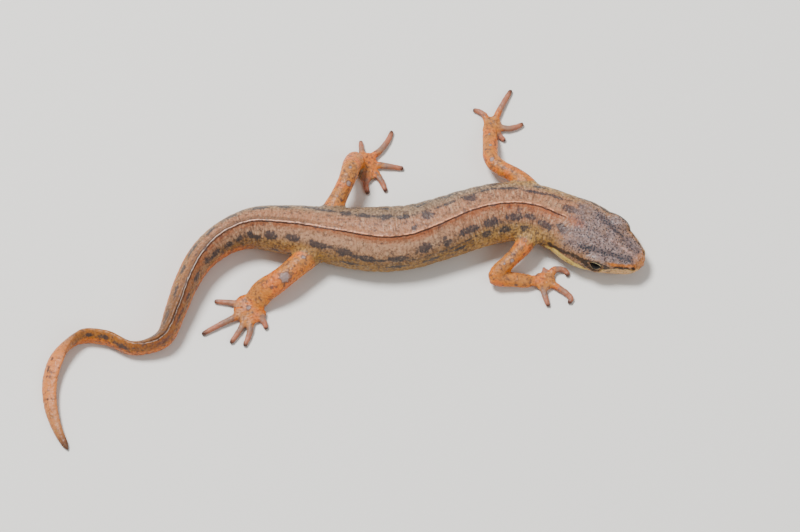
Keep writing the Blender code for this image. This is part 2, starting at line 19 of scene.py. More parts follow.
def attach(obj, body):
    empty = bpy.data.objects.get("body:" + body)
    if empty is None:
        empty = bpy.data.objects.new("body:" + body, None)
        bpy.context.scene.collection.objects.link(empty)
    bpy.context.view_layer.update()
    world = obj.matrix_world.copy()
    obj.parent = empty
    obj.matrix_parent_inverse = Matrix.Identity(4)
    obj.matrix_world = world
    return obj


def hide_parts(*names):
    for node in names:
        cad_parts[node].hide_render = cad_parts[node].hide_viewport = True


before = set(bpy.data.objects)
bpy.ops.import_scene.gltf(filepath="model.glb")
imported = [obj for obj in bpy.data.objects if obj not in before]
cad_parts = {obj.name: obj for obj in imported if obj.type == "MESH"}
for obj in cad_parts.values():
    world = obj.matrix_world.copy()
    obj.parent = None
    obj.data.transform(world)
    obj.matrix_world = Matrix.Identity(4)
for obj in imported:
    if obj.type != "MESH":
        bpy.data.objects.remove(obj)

LOG = logging.getLogger("newt")
MM = 0.001
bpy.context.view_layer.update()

# How far the solids were moved over the floor to centre them, in millimetres.
PLAN_SHIFT = Vector((6.224, 0.042, 0.0))

BODY_LENGTH = 91.0
SNOUT_ROUND = 1.9
TIP_ROUND = 1.2
RIDGE_HALF_WIDTH = 0.45
THROAT_END = 11.0
AXIS_SAMPLES = 1400

# Lines drawn on the body are measured up to this distance from them.
LINE_REACH = 2.0


class Side(Enum):
    """The two sides of the animal, with the sign of its own left."""

    LEFT = 1
    RIGHT = -1


class Track:
    """A smooth value along a length, through a few set values and without overshoot."""

    def __init__(self, pairs: list, level: bool = True) -> None:
        """Finds the slope at each set value.

        Args:
            pairs: Distances and the value at each.
            level: Whether a turning point is held level.
        """
        self.at, self.value = np.array(pairs, float).T
        step = np.diff(self.at)
        rise = np.diff(self.value) / step
        slope = np.zeros(len(self.at))
        slope[1:-1] = (rise[:-1] * step[1:] + rise[1:] * step[:-1]) / (step[1:] + step[:-1])
        slope[0], slope[-1] = rise[0], rise[-1]
        if level:
            slope[1:-1][rise[:-1] * rise[1:] <= 0] = 0
            limit = 3 * np.minimum(np.abs(rise[:-1]), np.abs(rise[1:]))
            slope[1:-1] = np.clip(slope[1:-1], -limit, limit)
        self.slope = slope

    def __call__(self, x: np.ndarray) -> np.ndarray:
        """Reads the value.

        Args:
            x: Distances.

        Returns:
            The value at each distance.
        """
        x = np.clip(np.asarray(x, float), self.at[0], self.at[-1])
        i = np.clip(np.searchsorted(self.at, x) - 1, 0, len(self.at) - 2)
        width = self.at[i + 1] - self.at[i]
        t = (x - self.at[i]) / width
        return (
            self.value[i] * (1 + 2 * t) * (1 - t) ** 2
            + self.slope[i] * width * t * (1 - t) ** 2
            + self.value[i + 1] * t * t * (3 - 2 * t)
            + self.slope[i + 1] * width * t * t * (t - 1)
        )


class Path:
    """A smooth path through a few points."""

    def __init__(self, points: list) -> None:
        """Measures the chain and fits a track to each axis.

        Args:
            points: The points that the path goes through.
        """
        chain = np.array(points, float)
        steps = np.linalg.norm(np.diff(chain, axis=0), axis=1)
        self.distance = np.concatenate(([0.0], np.cumsum(steps)))
        self.length = float(self.distance[-1])
        self.tracks = [Track(list(zip(self.distance, axis)), level=False) for axis in chain.T]

    def point(self, s: np.ndarray) -> np.ndarray:
        """Returns the points at distances s."""
        return np.stack([track(s) for track in self.tracks], axis=-1)

    def direction(self, s: np.ndarray) -> np.ndarray:
        """Finds which way the path runs.

        Args:
            s: Distances along the path.

        Returns:
            The unit direction at each distance.
        """
        ahead = self.point(np.minimum(np.asarray(s, float) + 0.05, self.length))
        behind = self.point(np.maximum(np.asarray(s, float) - 0.05, 0))
        step = ahead - behind
        return step / np.linalg.norm(step, axis=-1, keepdims=True)


def smooth_step(low: float, high: float, x: np.ndarray) -> np.ndarray:
    """Eases from 0 to 1.

    Args:
        low: Where it is 0.
        high: Where it is 1.
        x: Values to read it at.

    Returns:
        The eased values.
    """
    t = np.clip((x - low) / (high - low), 0, 1)
    return t * t * (3 - 2 * t)


def hump(x: np.ndarray, middle: float, width: float) -> np.ndarray:
    """Returns a bell of height 1 round the middle."""
    return np.exp(-(((x - middle) / width) ** 2))


def mirror(line: tuple, side: Side) -> tuple:
    """Returns a line that is given on the left, drawn on one side."""
    return tuple((s, side.value * turn) for s, turn in line)


def carry(matrix: Matrix, places: np.ndarray) -> np.ndarray:
    """Returns places moved by a matrix."""
    whole = np.array(matrix)
    return places @ whole[:3, :3].T + whole[:3, 3]


def nearest(points: np.ndarray, cloud: np.ndarray) -> tuple:
    """Finds the nearest point of a cloud for each point.

    Args:
        points: Points to look from.
        cloud: Points to look among.

    Returns:
        Index of the nearest cloud point and the distance to it, for each point.
    """
    tree = KDTree(len(cloud))
    for i, place in enumerate(cloud):
        tree.insert(place, i)
    tree.balance()
    found = [tree.find(place) for place in points]
    return np.array([f[1] for f in found]), np.array([f[2] for f in found])


@dataclass
class Trunk:
    """Body and tail as one loft: the route of its axis and its sections."""

    route_points: tuple = (
        (27.75, -0.75), (25.15, 0.8), (21.35, 2.88), (18.45, 4.45), (15.2, 5.6), (11.6, 5.6),
        (8, 4.7), (4.4, 3.45), (0.8, 2.45), (-2.8, 2.22), (-6.4, 2.52), (-10, 3.1), (-13.6, 3.6),
        (-17, 3.75), (-20.2, 2.5), (-22.7, 0.2), (-24.4, -2.95), (-25.5, -6.2), (-26.9, -9.6),
        (-30.2, -10.6), (-33.4, -9.34), (-36, -9.16), (-38.5, -10.95), (-39.6, -14.05),
        (-39.4, -17.35), (-38.4, -20.3), (-37.2, -22.5),
    )
    # Distance from the snout, half width, height, squareness, underside above the floor.
    stations: tuple = (
        (0, 1.8, 2.1, 2.2, 1.05), (1.5, 2.12, 2.45, 2.2, 0.9), (3, 2.8, 2.95, 2.3, 0.75),
        (4.7, 3.38, 3.45, 2.3, 0.6), (6.5, 3.82, 3.85, 2.3, 0.5), (8.2, 3.92, 4.2, 2.2, 0.4),
        (10, 3.72, 4.4, 2.1, 0.35), (12, 3.5, 4.6, 2, 0.3), (15, 3.42, 5.05, 2, 0.15),
        (18, 3.55, 5.5, 2, -0.05), (22, 3.6, 5.75, 2, -0.12), (27, 3.62, 5.85, 2, -0.12),
        (32, 3.78, 5.85, 2, -0.12), (36, 3.56, 5.75, 2, -0.12), (39.5, 3.2, 5.55, 2, -0.08),
        (43, 2.9, 5.3, 2, 0), (46.5, 2.55, 5.1, 1.95, -0.04), (49.5, 2.12, 4.9, 1.9, -0.06),
        (53, 1.8, 4.65, 1.8, -0.06), (57, 1.48, 4.3, 1.75, -0.06), (60, 1.33, 4.05, 1.7, -0.06),
        (65, 1.06, 3.28, 1.7, -0.06), (69, 0.71, 2.36, 1.7, -0.06), (73, 0.65, 2.22, 1.7, -0.06),
        (77, 0.62, 2.2, 1.7, -0.06), (80, 0.6, 2.14, 1.7, -0.05), (82, 0.55, 1.96, 1.8, -0.05),
        (84, 0.51, 1.75, 1.8, -0.05), (86.5, 0.46, 1.45, 1.9, -0.04), (88.5, 0.4, 1.12, 1.9, -0.03),
        (91, 0.32, 0.7, 2, -0.02),
    )
    lean_degrees: tuple = (
        (0, 0), (12, 2), (20, 2), (31, 18), (38, 8), (50, 6), (58, 12), (65, 2), (69, -6),
        (73, -20), (75, -18), (76.8, 8), (79.5, 50), (91, 62),
    )
    upper: tuple = ((0, 0.55), (6, 0.58), (14, 0.54), (45, 0.55), (91, 0.5))
    ridge: tuple = ((0, 0), (10, 0), (14, 0.16), (46, 0.24), (80, 0.22), (91, 0))
    sides: int = 96
    spacing: float = 0.25

    def __post_init__(self) -> None:
        """Fits a track to each size."""
        self.route = Path(self.route_points)
        self.scale = self.route.length / BODY_LENGTH
        columns = [Track([(s[0], s[i]) for s in self.stations]) for i in range(1, 5)]
        self.half_width, self.height, self.squareness, self.clearance = columns
        self.lean = Track(self.lean_degrees)
        self.upper_share = Track(self.upper)
        self.ridge_height = Track(self.ridge)

    def rounding(self, s: np.ndarray) -> np.ndarray:
        """Rounds off the snout and the tail's tip.

        Args:
            s: Distances from the snout.

        Returns:
            The share of the full section that is left at each distance.
        """
        snout = np.minimum(s / SNOUT_ROUND, 1)
        tip = np.minimum((BODY_LENGTH - s) / TIP_ROUND, 1)
        return np.sqrt(np.maximum((1 - (1 - snout) ** 2) * (1 - (1 - tip) ** 2), 0))

    def axes(self, s: np.ndarray) -> tuple:
        """Finds the animal's own axes.

        Args:
            s: Distances from the snout.

        Returns:
            Forward, left and up at each distance.
        """
        back = self.route.direction(s * self.scale)
        zero = np.zeros_like(back[..., 0])
        forward = np.stack((-back[..., 0], -back[..., 1], zero), axis=-1)
        left = np.stack((-forward[..., 1], forward[..., 0], zero), axis=-1)
        up = np.zeros_like(left) + np.array((0.0, 0.0, 1.0))
        lean = np.radians(self.lean(s))[..., None]
        return (
            forward,
            left * np.cos(lean) + up * np.sin(lean),
            up * np.cos(lean) - left * np.sin(lean),
        )

    def outline(self, s: np.ndarray, angle: np.ndarray) -> tuple:
        """Finds the section's reach.

        Args:
            s: Distances from the snout.
            angle: Angles round the section; 0 is left and a quarter turn is up.

        Returns:
            Sideways and upward reach.
        """
        power = 2 / self.squareness(s)
        across, rise = np.cos(angle), np.sin(angle)
        upper = self.upper_share(s)
        share = np.where(rise > 0, upper, 1 - upper)
        side = self.half_width(s) * np.sign(across) * np.abs(across) ** power
        up = self.height(s) * share * np.sign(rise) * np.abs(rise) ** power
        crest = self.ridge_height(s) * np.exp(-((side / RIDGE_HALF_WIDTH) ** 2))
        up = up + np.where(rise > 0, crest, 0)
        return side * self.rounding(s), up * self.rounding(s)

    def centre(self, s: np.ndarray) -> np.ndarray:
        """Finds the middle of the section's widest line.

        Args:
            s: Distances from the snout.

        Returns:
            The centre at each distance.
        """
        s = np.asarray(s, float)
        _, left, up = self.axes(s)
        angles = np.arange(24) * (2 * math.pi / 24)
        side, rise = self.outline(s[..., None], angles)
        lowest = np.minimum((side * left[..., 2:] + rise * up[..., 2:]).min(-1), 0)
        base = self.route.point(s * self.scale)
        height = self.clearance(s) - lowest / np.maximum(self.rounding(s), 0.05)
        return np.concatenate((base, height[..., None]), axis=-1)

    def place(self, s: np.ndarray, side: np.ndarray, rise: np.ndarray) -> np.ndarray:
        """Finds points by their place in a section.

        Args:
            s: Distances from the snout.
            side: How far to the animal's left of the centre.
            rise: How far above the centre, along the section's own up.

        Returns:
            The points.
        """
        _, left, up = self.axes(s)
        side, rise = np.asarray(side)[..., None], np.asarray(rise)[..., None]
        return self.centre(s) + left * side + up * rise

    def surface(self, s: np.ndarray, turn: np.ndarray) -> np.ndarray:
        """Finds points of the skin.

        Args:
            s: Distances from the snout.
            turn: Degrees down from the middle of the back, positive to the animal's left.

        Returns:
            The points.
        """
        s = np.asarray(s, float)
        return self.place(s, *self.outline(s, np.radians(90 - np.asarray(turn, float))))

    def rings(self) -> np.ndarray:
        """Lays the sections along the body, closer together at both round ends.

        Returns:
            The loft's rings from snout to tail tip.
        """
        ease = np.linspace(0.06, math.pi / 2, 12)
        snout = SNOUT_ROUND * (1 - np.cos(ease))
        tip = BODY_LENGTH - TIP_ROUND * (1 - np.cos(ease[::-1]))
        middle = np.arange(SNOUT_ROUND + self.spacing, BODY_LENGTH - TIP_ROUND - 0.1, self.spacing)
        s = np.concatenate((snout, middle, tip))
        angles = np.linspace(0, 2 * math.pi, self.sides, endpoint=False)
        side, rise = self.outline(s[:, None], angles[None, :])
        _, left, up = self.axes(s)
        return (
            self.centre(s)[:, None, :]
            + left[:, None, :] * side[..., None]
            + up[:, None, :] * rise[..., None]
        )


@dataclass
class Chain:
    """A round length of limb, palm or digit: rows of place, half width and half thickness."""

    steps: np.ndarray
    sides: int = 32
    spacing: float = 0.22

    def __post_init__(self) -> None:
        """Fits the middle line and both half sizes."""
        rows = np.array(self.steps, float)
        self.path = Path(rows[:, :3])
        self.wide, self.thick = (
            Track(np.column_stack((self.path.distance, size))) for size in rows[:, 3:].T
        )

    def rings(self) -> np.ndarray:
        """Lays the sections along the length, closer together at both round ends.

        Returns:
            The rings of the length.
        """
        path = self.path
        end = min(self.wide.value[-1], path.length / 3)
        count = max(int((path.length - 2 * end) / self.spacing), 2)
        ease = end * (1 - np.cos(np.linspace(0.12, 1.45, 7)))
        inner = np.linspace(end, path.length - end, count + 1)
        d = np.concatenate((ease, inner, path.length - ease[::-1]))
        along = path.direction(d)
        side = np.stack((-along[:, 1], along[:, 0], np.zeros(len(d))), axis=-1)
        side /= np.linalg.norm(side, axis=1, keepdims=True)
        over = np.cross(along, side)
        from_end = np.minimum(np.minimum(d, path.length - d), end) / end
        size = np.sqrt(1 - (1 - from_end) ** 2)
        angles = np.linspace(0, 2 * math.pi, self.sides, endpoint=False)
        across = (self.wide(d) * size)[:, None] * np.cos(angles)
        rise = (self.thick(d) * size)[:, None] * np.sin(angles)
        return (
            path.point(d)[:, None, :]
            + side[:, None, :] * across[..., None]
            + over[:, None, :] * rise[..., None]
        )


@dataclass
class Limb:
    """An arm or leg with its palm and digits, in rows from the root inside the body."""

    name: str
    arm: tuple
    palm: tuple
    digits: tuple
    digit_root: float = 0.44
    digit_tip: float = 0.27

    def digit_chain(self, points: tuple) -> Chain:
        """Makes a finger or toe that tapers to a blunt tip.

        Args:
            points: Its middle line from the palm to the tip.

        Returns:
            The chain.
        """
        share = np.linspace(0, 1, len(points))
        wide = self.digit_root + (self.digit_tip - self.digit_root) * share
        thick = self.digit_root * 0.95 - 0.16 * share
        return Chain(np.column_stack((points, wide, thick)), sides=20, spacing=0.2)

    def chains(self) -> list:
        """Returns the chains of arm, palm and digits."""
        return [Chain(self.arm), Chain(self.palm), *map(self.digit_chain, self.digits)]

    def samples(self) -> np.ndarray:
        """Samples the middle lines of arm, palm and digits.

        Returns:
            Rows of place, radius and share along the limb: 0 at the root, 1 at the wrist and 2 at
            the tips of the digits.
        """
        arm, palm = Chain(self.arm), Chain(self.palm)
        d = np.linspace(0, arm.path.length, 80)
        rows = [np.column_stack((arm.path.point(d), arm.wide(d), d / arm.path.length))]
        for points in self.digits:
            path = Path(points)
            d = np.linspace(0, path.length, 20)
            radius = np.linspace(self.digit_root, self.digit_tip, 20)
            rows.append(np.column_stack((path.point(d), radius, 1 + d / path.length)))
        d = np.linspace(0, palm.path.length, 20)
        rows.append(np.column_stack((palm.path.point(d), palm.wide(d), np.ones(20))))
        return np.concatenate(rows)


FORE_RIGHT = Limb(
    "fore_right",
    arm=(
        (15, 3.5, 2.7, 1.5, 1.4), (14.1, 1.4, 2.5, 1.05, 1.05), (13.2, 0.4, 2.2, 0.9, 0.92),
        (12.1, -0.6, 1.9, 0.86, 0.88), (11.2, -1.4, 1.6, 0.88, 0.88), (10.9, -2, 1.3, 0.9, 0.84),
        (11.8, -2.1, 1.1, 0.88, 0.78), (13, -2.1, 0.95, 0.86, 0.72), (14.4, -2.2, 0.8, 0.84, 0.62),
        (15.7, -2.1, 0.6, 0.8, 0.46),
    ),
    palm=(
        (15.1, -2.2, 0.7, 0.78, 0.52), (16.1, -2.1, 0.56, 1.08, 0.46), (17.1, -2, 0.44, 1.15, 0.4),
        (17.9, -2.1, 0.36, 0.75, 0.3),
    ),
    digits=(
        ((16.4, -1.6, 0.45), (16.6, -0.7, 0.36), (16.6, -0.2, 0.28)),
        (
            (17.1, -1.4, 0.45), (17.9, -0.6, 0.44), (18.7, -0.6, 0.38), (19.2, -1, 0.3),
            (19.1, -1.5, 0.26),
        ),
        (
            (17.3, -2.3, 0.45), (18.3, -3, 0.4), (19.1, -3.6, 0.36), (19.6, -4.2, 0.3),
            (19.2, -4.8, 0.26),
        ),
        ((16.3, -2.7, 0.45), (16.6, -4, 0.38), (17, -5.2, 0.26)),
    ),
)
FORE_LEFT = Limb(
    "fore_left",
    arm=(
        (15.3, 7.5, 2.7, 1.5, 1.4), (14.5, 9.1, 2.7, 1.1, 1.08), (13.2, 10.3, 2.6, 0.95, 0.96),
        (11.9, 11.1, 2.5, 0.92, 0.92), (10.9, 12, 2.3, 0.92, 0.9), (10.5, 13, 2, 0.9, 0.86),
        (10.5, 14.2, 1.6, 0.9, 0.8), (10.5, 15.6, 1.15, 0.88, 0.68), (10.5, 16.8, 0.75, 0.84, 0.52),
        (10.6, 17.8, 0.55, 0.8, 0.44),
    ),
    palm=(
        (10.5, 16.1, 0.85, 0.8, 0.52), (10.6, 17.1, 0.62, 1.02, 0.46),
        (10.8, 18.1, 0.46, 1.08, 0.4), (10.8, 18.9, 0.36, 0.75, 0.3),
    ),
    digits=(
        ((11.1, 17, 0.45), (11.7, 16.3, 0.36), (12.3, 15.7, 0.28)),
        ((11.2, 17.5, 0.45), (12.8, 17.3, 0.4), (13.8, 17.6, 0.34), (14.5, 18, 0.26)),
        ((11, 18.2, 0.45), (11.8, 19.9, 0.4), (12.5, 21.3, 0.34), (13.1, 22.4, 0.26)),
        ((10.2, 18.1, 0.45), (9.9, 19, 0.4), (9.3, 19.5, 0.34), (8.5, 19.8, 0.26)),
    ),
)
HIND_RIGHT = Limb(
    "hind_right",
    arm=(
        (-9.4, 1.3, 2.7, 1.75, 1.6), (-10.5, 0.1, 2.5, 1.42, 1.38), (-11.8, -1.1, 2.5, 1.3, 1.25),
        (-13, -2.2, 2.5, 1.26, 1.18), (-14.2, -3, 2.1, 1.36, 1.05), (-15.5, -3.7, 1.5, 1.46, 0.9),
        (-16.4, -4.5, 0.95, 1.42, 0.7), (-17.2, -5.3, 0.62, 1.25, 0.52),
    ),
    palm=(
        (-16.3, -4.3, 0.9, 1.3, 0.62), (-17, -5.3, 0.62, 1.92, 0.5),
        (-17.15, -6.4, 0.46, 1.9, 0.42), (-17.2, -7.4, 0.34, 1.3, 0.3),
    ),
    digits=(
        ((-16.3, -6.3, 0.46), (-15.5, -7.1, 0.38), (-15.2, -8, 0.28)),
        ((-17, -7, 0.46), (-17.1, -8.4, 0.38), (-17.7, -10.1, 0.26)),
        ((-17.6, -6.9, 0.46), (-18.3, -8.2, 0.38), (-19.3, -9.7, 0.26)),
        ((-17.9, -6.1, 0.46), (-20.3, -7.3, 0.4), (-22.6, -8.6, 0.26)),
        ((-17.8, -5, 0.46), (-19.5, -4.7, 0.38), (-21.3, -4.5, 0.26)),
    ),
)
HIND_LEFT = Limb(
    "hind_left",
    arm=(
        (-8.4, 4.1, 2.7, 1.75, 1.6), (-7.6, 6, 3.1, 1.2, 1.25), (-6.8, 7.6, 3.5, 1, 1.08),
        (-6.2, 8.9, 3.8, 0.98, 1.02), (-5.8, 10.2, 3.6, 1.06, 1), (-5.5, 11.7, 2.6, 1.12, 0.95),
        (-5, 12.7, 1.6, 1.2, 0.8), (-4.3, 13.1, 0.8, 1.2, 0.55),
    ),
    palm=(
        (-5, 12.8, 1.05, 1.15, 0.62), (-4.2, 12.5, 0.66, 1.72, 0.52), (-3.3, 12.1, 0.48, 2, 0.42),
        (-2.7, 12, 0.34, 1.5, 0.3),
    ),
    digits=(
        ((-3.8, 11.8, 0.46), (-4, 10.4, 0.38), (-3.7, 8.9, 0.28)),
        ((-2.9, 11.8, 0.46), (-2.1, 10.4, 0.38), (-1.6, 9.2, 0.26)),
        ((-2.8, 12.6, 0.46), (-1.1, 12.4, 0.38), (0.5, 12.2, 0.26)),
        ((-3.4, 13.5, 0.46), (-2.1, 14.7, 0.4), (-1.3, 16, 0.34), (-0.9, 17.1, 0.26)),
        ((-4.3, 13.5, 0.46), (-4.5, 14.7, 0.38), (-4.6, 15.8, 0.28)),
    ),
)


def roll_tube(name: str, rings: np.ndarray) -> bpy.types.Object:
    """Adds a grid, rolls it round the rings and closes it at both ends.

    Args:
        name: Name of the new piece.
        rings: Rings of equal count, in millimetres.

    Returns:
        The closed tube.
    """
    count, sides = rings.shape[:2]
    bpy.ops.object.select_all(action="DESELECT")
    bpy.ops.mesh.primitive_grid_add(x_subdivisions=count - 1, y_subdivisions=sides, size=1)
    tube = bpy.context.object
    tube.name = name
    rolled = np.concatenate((rings, rings[:, :1]), axis=1).transpose(1, 0, 2)
    tube.data.vertices.foreach_set("co", rolled.reshape(-1).astype(np.float32))
    bpy.ops.object.mode_set(mode="EDIT")
    bpy.ops.mesh.select_all(action="SELECT")
    bpy.ops.mesh.remove_doubles(threshold=0.0005)
    bpy.ops.mesh.select_all(action="DESELECT")
    bpy.ops.mesh.select_mode(type="EDGE")
    bpy.ops.mesh.select_non_manifold()
    bpy.ops.mesh.edge_face_add()
    bpy.ops.mesh.select_all(action="SELECT")
    bpy.ops.mesh.normals_make_consistent(inside=False)
    bpy.ops.object.mode_set(mode="OBJECT")
    return tube


@dataclass
class EyeSocket:
    """One eye's place on the head, its lids and its ball."""

    trunk: Trunk
    side: Side
    along: float = 4.8
    # How far the left and the right eye's centres lie out from and above the head's middle.
    out: tuple = (2.72, 2.6)
    rise: tuple = (0.86, 0.72)
    radius: float = 0.86
    turn_up: float = 28.0
    turn_forward: float = 8.0
    # Half sizes of the lids' swelling, how far it is moved in the eye's frame, and half sizes of
    # the opening between the lids.
    bulge: tuple = (1.62, 1.24, 1.15)
    bulge_shift: tuple = (-0.1, 0.06, -0.2)
    opening: tuple = (1.0, 0.55)

    def frame(self) -> Matrix:
        """Works out how the eye sits in the head.

        Returns:
            The eye's frame: X to the front corner, Y up the lids, Z out of the pupil.
        """
        s = np.array(self.along)
        forward, left, up = (Vector(a) for a in self.trunk.axes(s))
        hand = self.side.value
        i = list(Side).index(self.side)
        centre = Vector(self.trunk.place(s, self.out[i] * hand, self.rise[i]))
        lift, turn = math.radians(self.turn_up), math.radians(self.turn_forward)
        outward = left * (hand * math.cos(lift)) + up * math.sin(lift)
        outward = (outward * math.cos(turn) + forward * math.sin(turn)).normalized()
        front = (forward - outward * forward.dot(outward)).normalized()
        over = outward.cross(front)
        over = over if over.z > 0 else -over
        turned = Matrix((front, over, outward)).transposed().to_4x4()
        return Matrix.Translation(centre) @ turned

    def swell(self) -> bpy.types.Object:
        """Makes the swelling of the lids.

        Returns:
            The swelling, to be joined to the body.
        """
        bpy.ops.object.select_all(action="DESELECT")
        bpy.ops.mesh.primitive_uv_sphere_add(segments=48, ring_count=32, radius=1)
        lump = bpy.context.object
        stretch = Matrix.Diagonal((*self.bulge, 1))
        lump.data.transform(self.frame() @ Matrix.Translation(self.bulge_shift) @ stretch)
        lump.name = f"lids_{self.side.name.lower()}"
        return lump

    def local(self, places: np.ndarray) -> np.ndarray:
        """Returns places in the eye's own frame."""
        return carry(self.frame().inverted(), places)


class SkinMesh:
    """The skin's points with their places on the animal, and tools to shape them."""

    def __init__(self, piece: bpy.types.Object, trunk: Trunk, limbs: tuple) -> None:
        """Reads the mesh.

        Args:
            piece: The remeshed skin, in millimetres.
            trunk: The body's loft.
            limbs: The four limbs.
        """
        self.piece, self.trunk, self.limbs = piece, trunk, limbs
        self.read()
        self.locate()

    def read(self) -> None:
        """Reads the points and edges of the mesh."""
        mesh = self.piece.data
        co = np.zeros(len(mesh.vertices) * 3, np.float32)
        mesh.vertices.foreach_get("co", co)
        self.co = co.reshape(-1, 3).astype(float)
        edges = np.zeros(len(mesh.edges) * 2, np.int32)
        mesh.edges.foreach_get("vertices", edges)
        self.edges = edges.reshape(-1, 2)
        count = len(self.co)
        self.degree = np.bincount(self.edges.ravel(), minlength=count).astype(float)

    def write(self) -> None:
        """Writes the points back to the mesh."""
        self.piece.data.vertices.foreach_set("co", self.co.astype(np.float32).ravel())
        self.piece.data.update()

    def normals(self) -> np.ndarray:
        """Reads the mesh's normals.

        Returns:
            The outward direction at each point.
        """
        self.write()
        found = np.zeros(len(self.co) * 3, np.float32)
        self.piece.data.vertex_normals.foreach_get("vector", found)
        return found.reshape(-1, 3).astype(float)

    def average(self, values: np.ndarray) -> np.ndarray:
        """Averages rows of values over the mesh's edges.

        Args:
            values: A row of values for each point.

        Returns:
            The mean of each point's neighbours.
        """
        a, b = self.edges.T
        count = len(self.co)
        total = [np.bincount(a, row[b], count) + np.bincount(b, row[a], count) for row in values.T]
        return np.stack(total, axis=1) / self.degree[:, None]

    def girth_radius(self) -> np.ndarray:
        """Returns the mean radius of the section at each point."""
        return (self.trunk.half_width(self.s) + self.trunk.height(self.s) / 2) / 2

    def relax(self, rounds: int, strength: np.ndarray, keep_size: bool = True) -> None:
        """Smooths the points.

        Args:
            rounds: How many times.
            strength: Share of the way to the neighbours' mean, for each point.
            keep_size: Whether a step back follows each step, which keeps thin parts thick.
        """
        step_back = 1.04
        strength = np.broadcast_to(strength, len(self.co))[:, None]
        for _ in range(rounds):
            self.co += (self.average(self.co) - self.co) * strength
            if keep_size:
                self.co -= (self.average(self.co) - self.co) * strength * step_back

    def locate(self) -> None:
        """Finds each point's distance from the snout and its place round the section."""
        trunk = self.trunk
        s = np.linspace(0, BODY_LENGTH, AXIS_SAMPLES)
        centres = trunk.centre(s)
        found, _ = nearest(self.co, centres)
        forward, left, up = (a[found] for a in trunk.axes(s))
        offset = self.co - centres[found]
        ahead = (offset * forward).sum(1)
        self.s = np.clip(s[found] - np.clip(ahead, -1, 1) / trunk.scale, 0, BODY_LENGTH)
        self.side = (offset * left).sum(1)
        self.rise = (offset * up).sum(1)
        upper = trunk.upper_share(self.s)
        share = np.where(self.rise > 0, upper, 1 - upper)
        power = trunk.squareness(self.s)
        full = np.maximum(trunk.rounding(self.s), 0.2)
        u = np.abs(self.side) / (trunk.half_width(self.s) * full)
        v = np.abs(self.rise) / (trunk.height(self.s) * share * full)
        self.rho = (u**power + v**power) ** (1 / power)
        quarter = np.degrees(np.arctan2(u ** (power / 2), v ** (power / 2)))
        turn = np.where(self.rise > 0, quarter, 180 - quarter)
        self.turn = turn * np.where(self.side >= 0, 1, -1)
        rows = np.concatenate([limb.samples() for limb in self.limbs])
        found, distance = nearest(self.co, rows[:, :3])
        self.reach = distance / rows[found, 3]
        self.share = rows[found, 4]
        # A limb starts where the skin leaves the trunk's section and lies close to the limb's own
        # middle line. On the right side the flank's colour runs on over the limb's root.
        start = np.where(self.side < 0, 0.06, 0.0)
        reached = smooth_step(start, start + np.where(self.side < 0, 0.28, 0.2), self.share)
        close = smooth_step(1.9, 1.3, self.reach) * reached
        self.limb = smooth_step(1.0, 1.2, self.rho) * close
        self.limb[(self.s < THROAT_END) & (self.reach > 1.6)] = 0
        self.root = hump(self.rho, 1.08, 0.22) * smooth_step(2.2, 1.4, self.reach)

    def line_on_body(self, nodes: tuple) -> np.ndarray:
        """Measures how far each point lies from a line drawn on the body.

        Args:
            nodes: Distance from the snout and turn from the back's middle, at a few places.

        Returns:
            The distances in millimetres, up to the reach.
        """
        path = Path(nodes)
        d = np.linspace(0, path.length, max(int(path.length * 6), 60))
        s, turn = path.point(d).T
        line = self.trunk.surface(np.clip(s, 0.01, BODY_LENGTH - 0.01), turn)
        spare = LINE_REACH + 0.5
        close = (self.s > s.min() - spare) & (self.s < s.max() + spare)
        distance = np.full(len(self.co), LINE_REACH)
        if close.any():
            distance[close] = np.minimum(nearest(self.co[close], line)[1], LINE_REACH)
        return distance


@dataclass(frozen=True)
class Stroke:
    """Lines drawn on the body: places on the left, half width, and the sides they lie on."""

    lines: tuple
    width: float
    sides: tuple = tuple(Side)

    def field(self, skin: SkinMesh) -> np.ndarray:
        """Makes a field that is 1 on the lines and falls to 0 beside them.

        Args:
            skin: The skin's points.

        Returns:
            The field.
        """
        best = np.zeros(len(skin.co))
        for line in self.lines:
            for side in self.sides:
                far = skin.line_on_body(mirror(line, side))
                best = np.maximum(best, hump(far, 0, self.width))
        return best


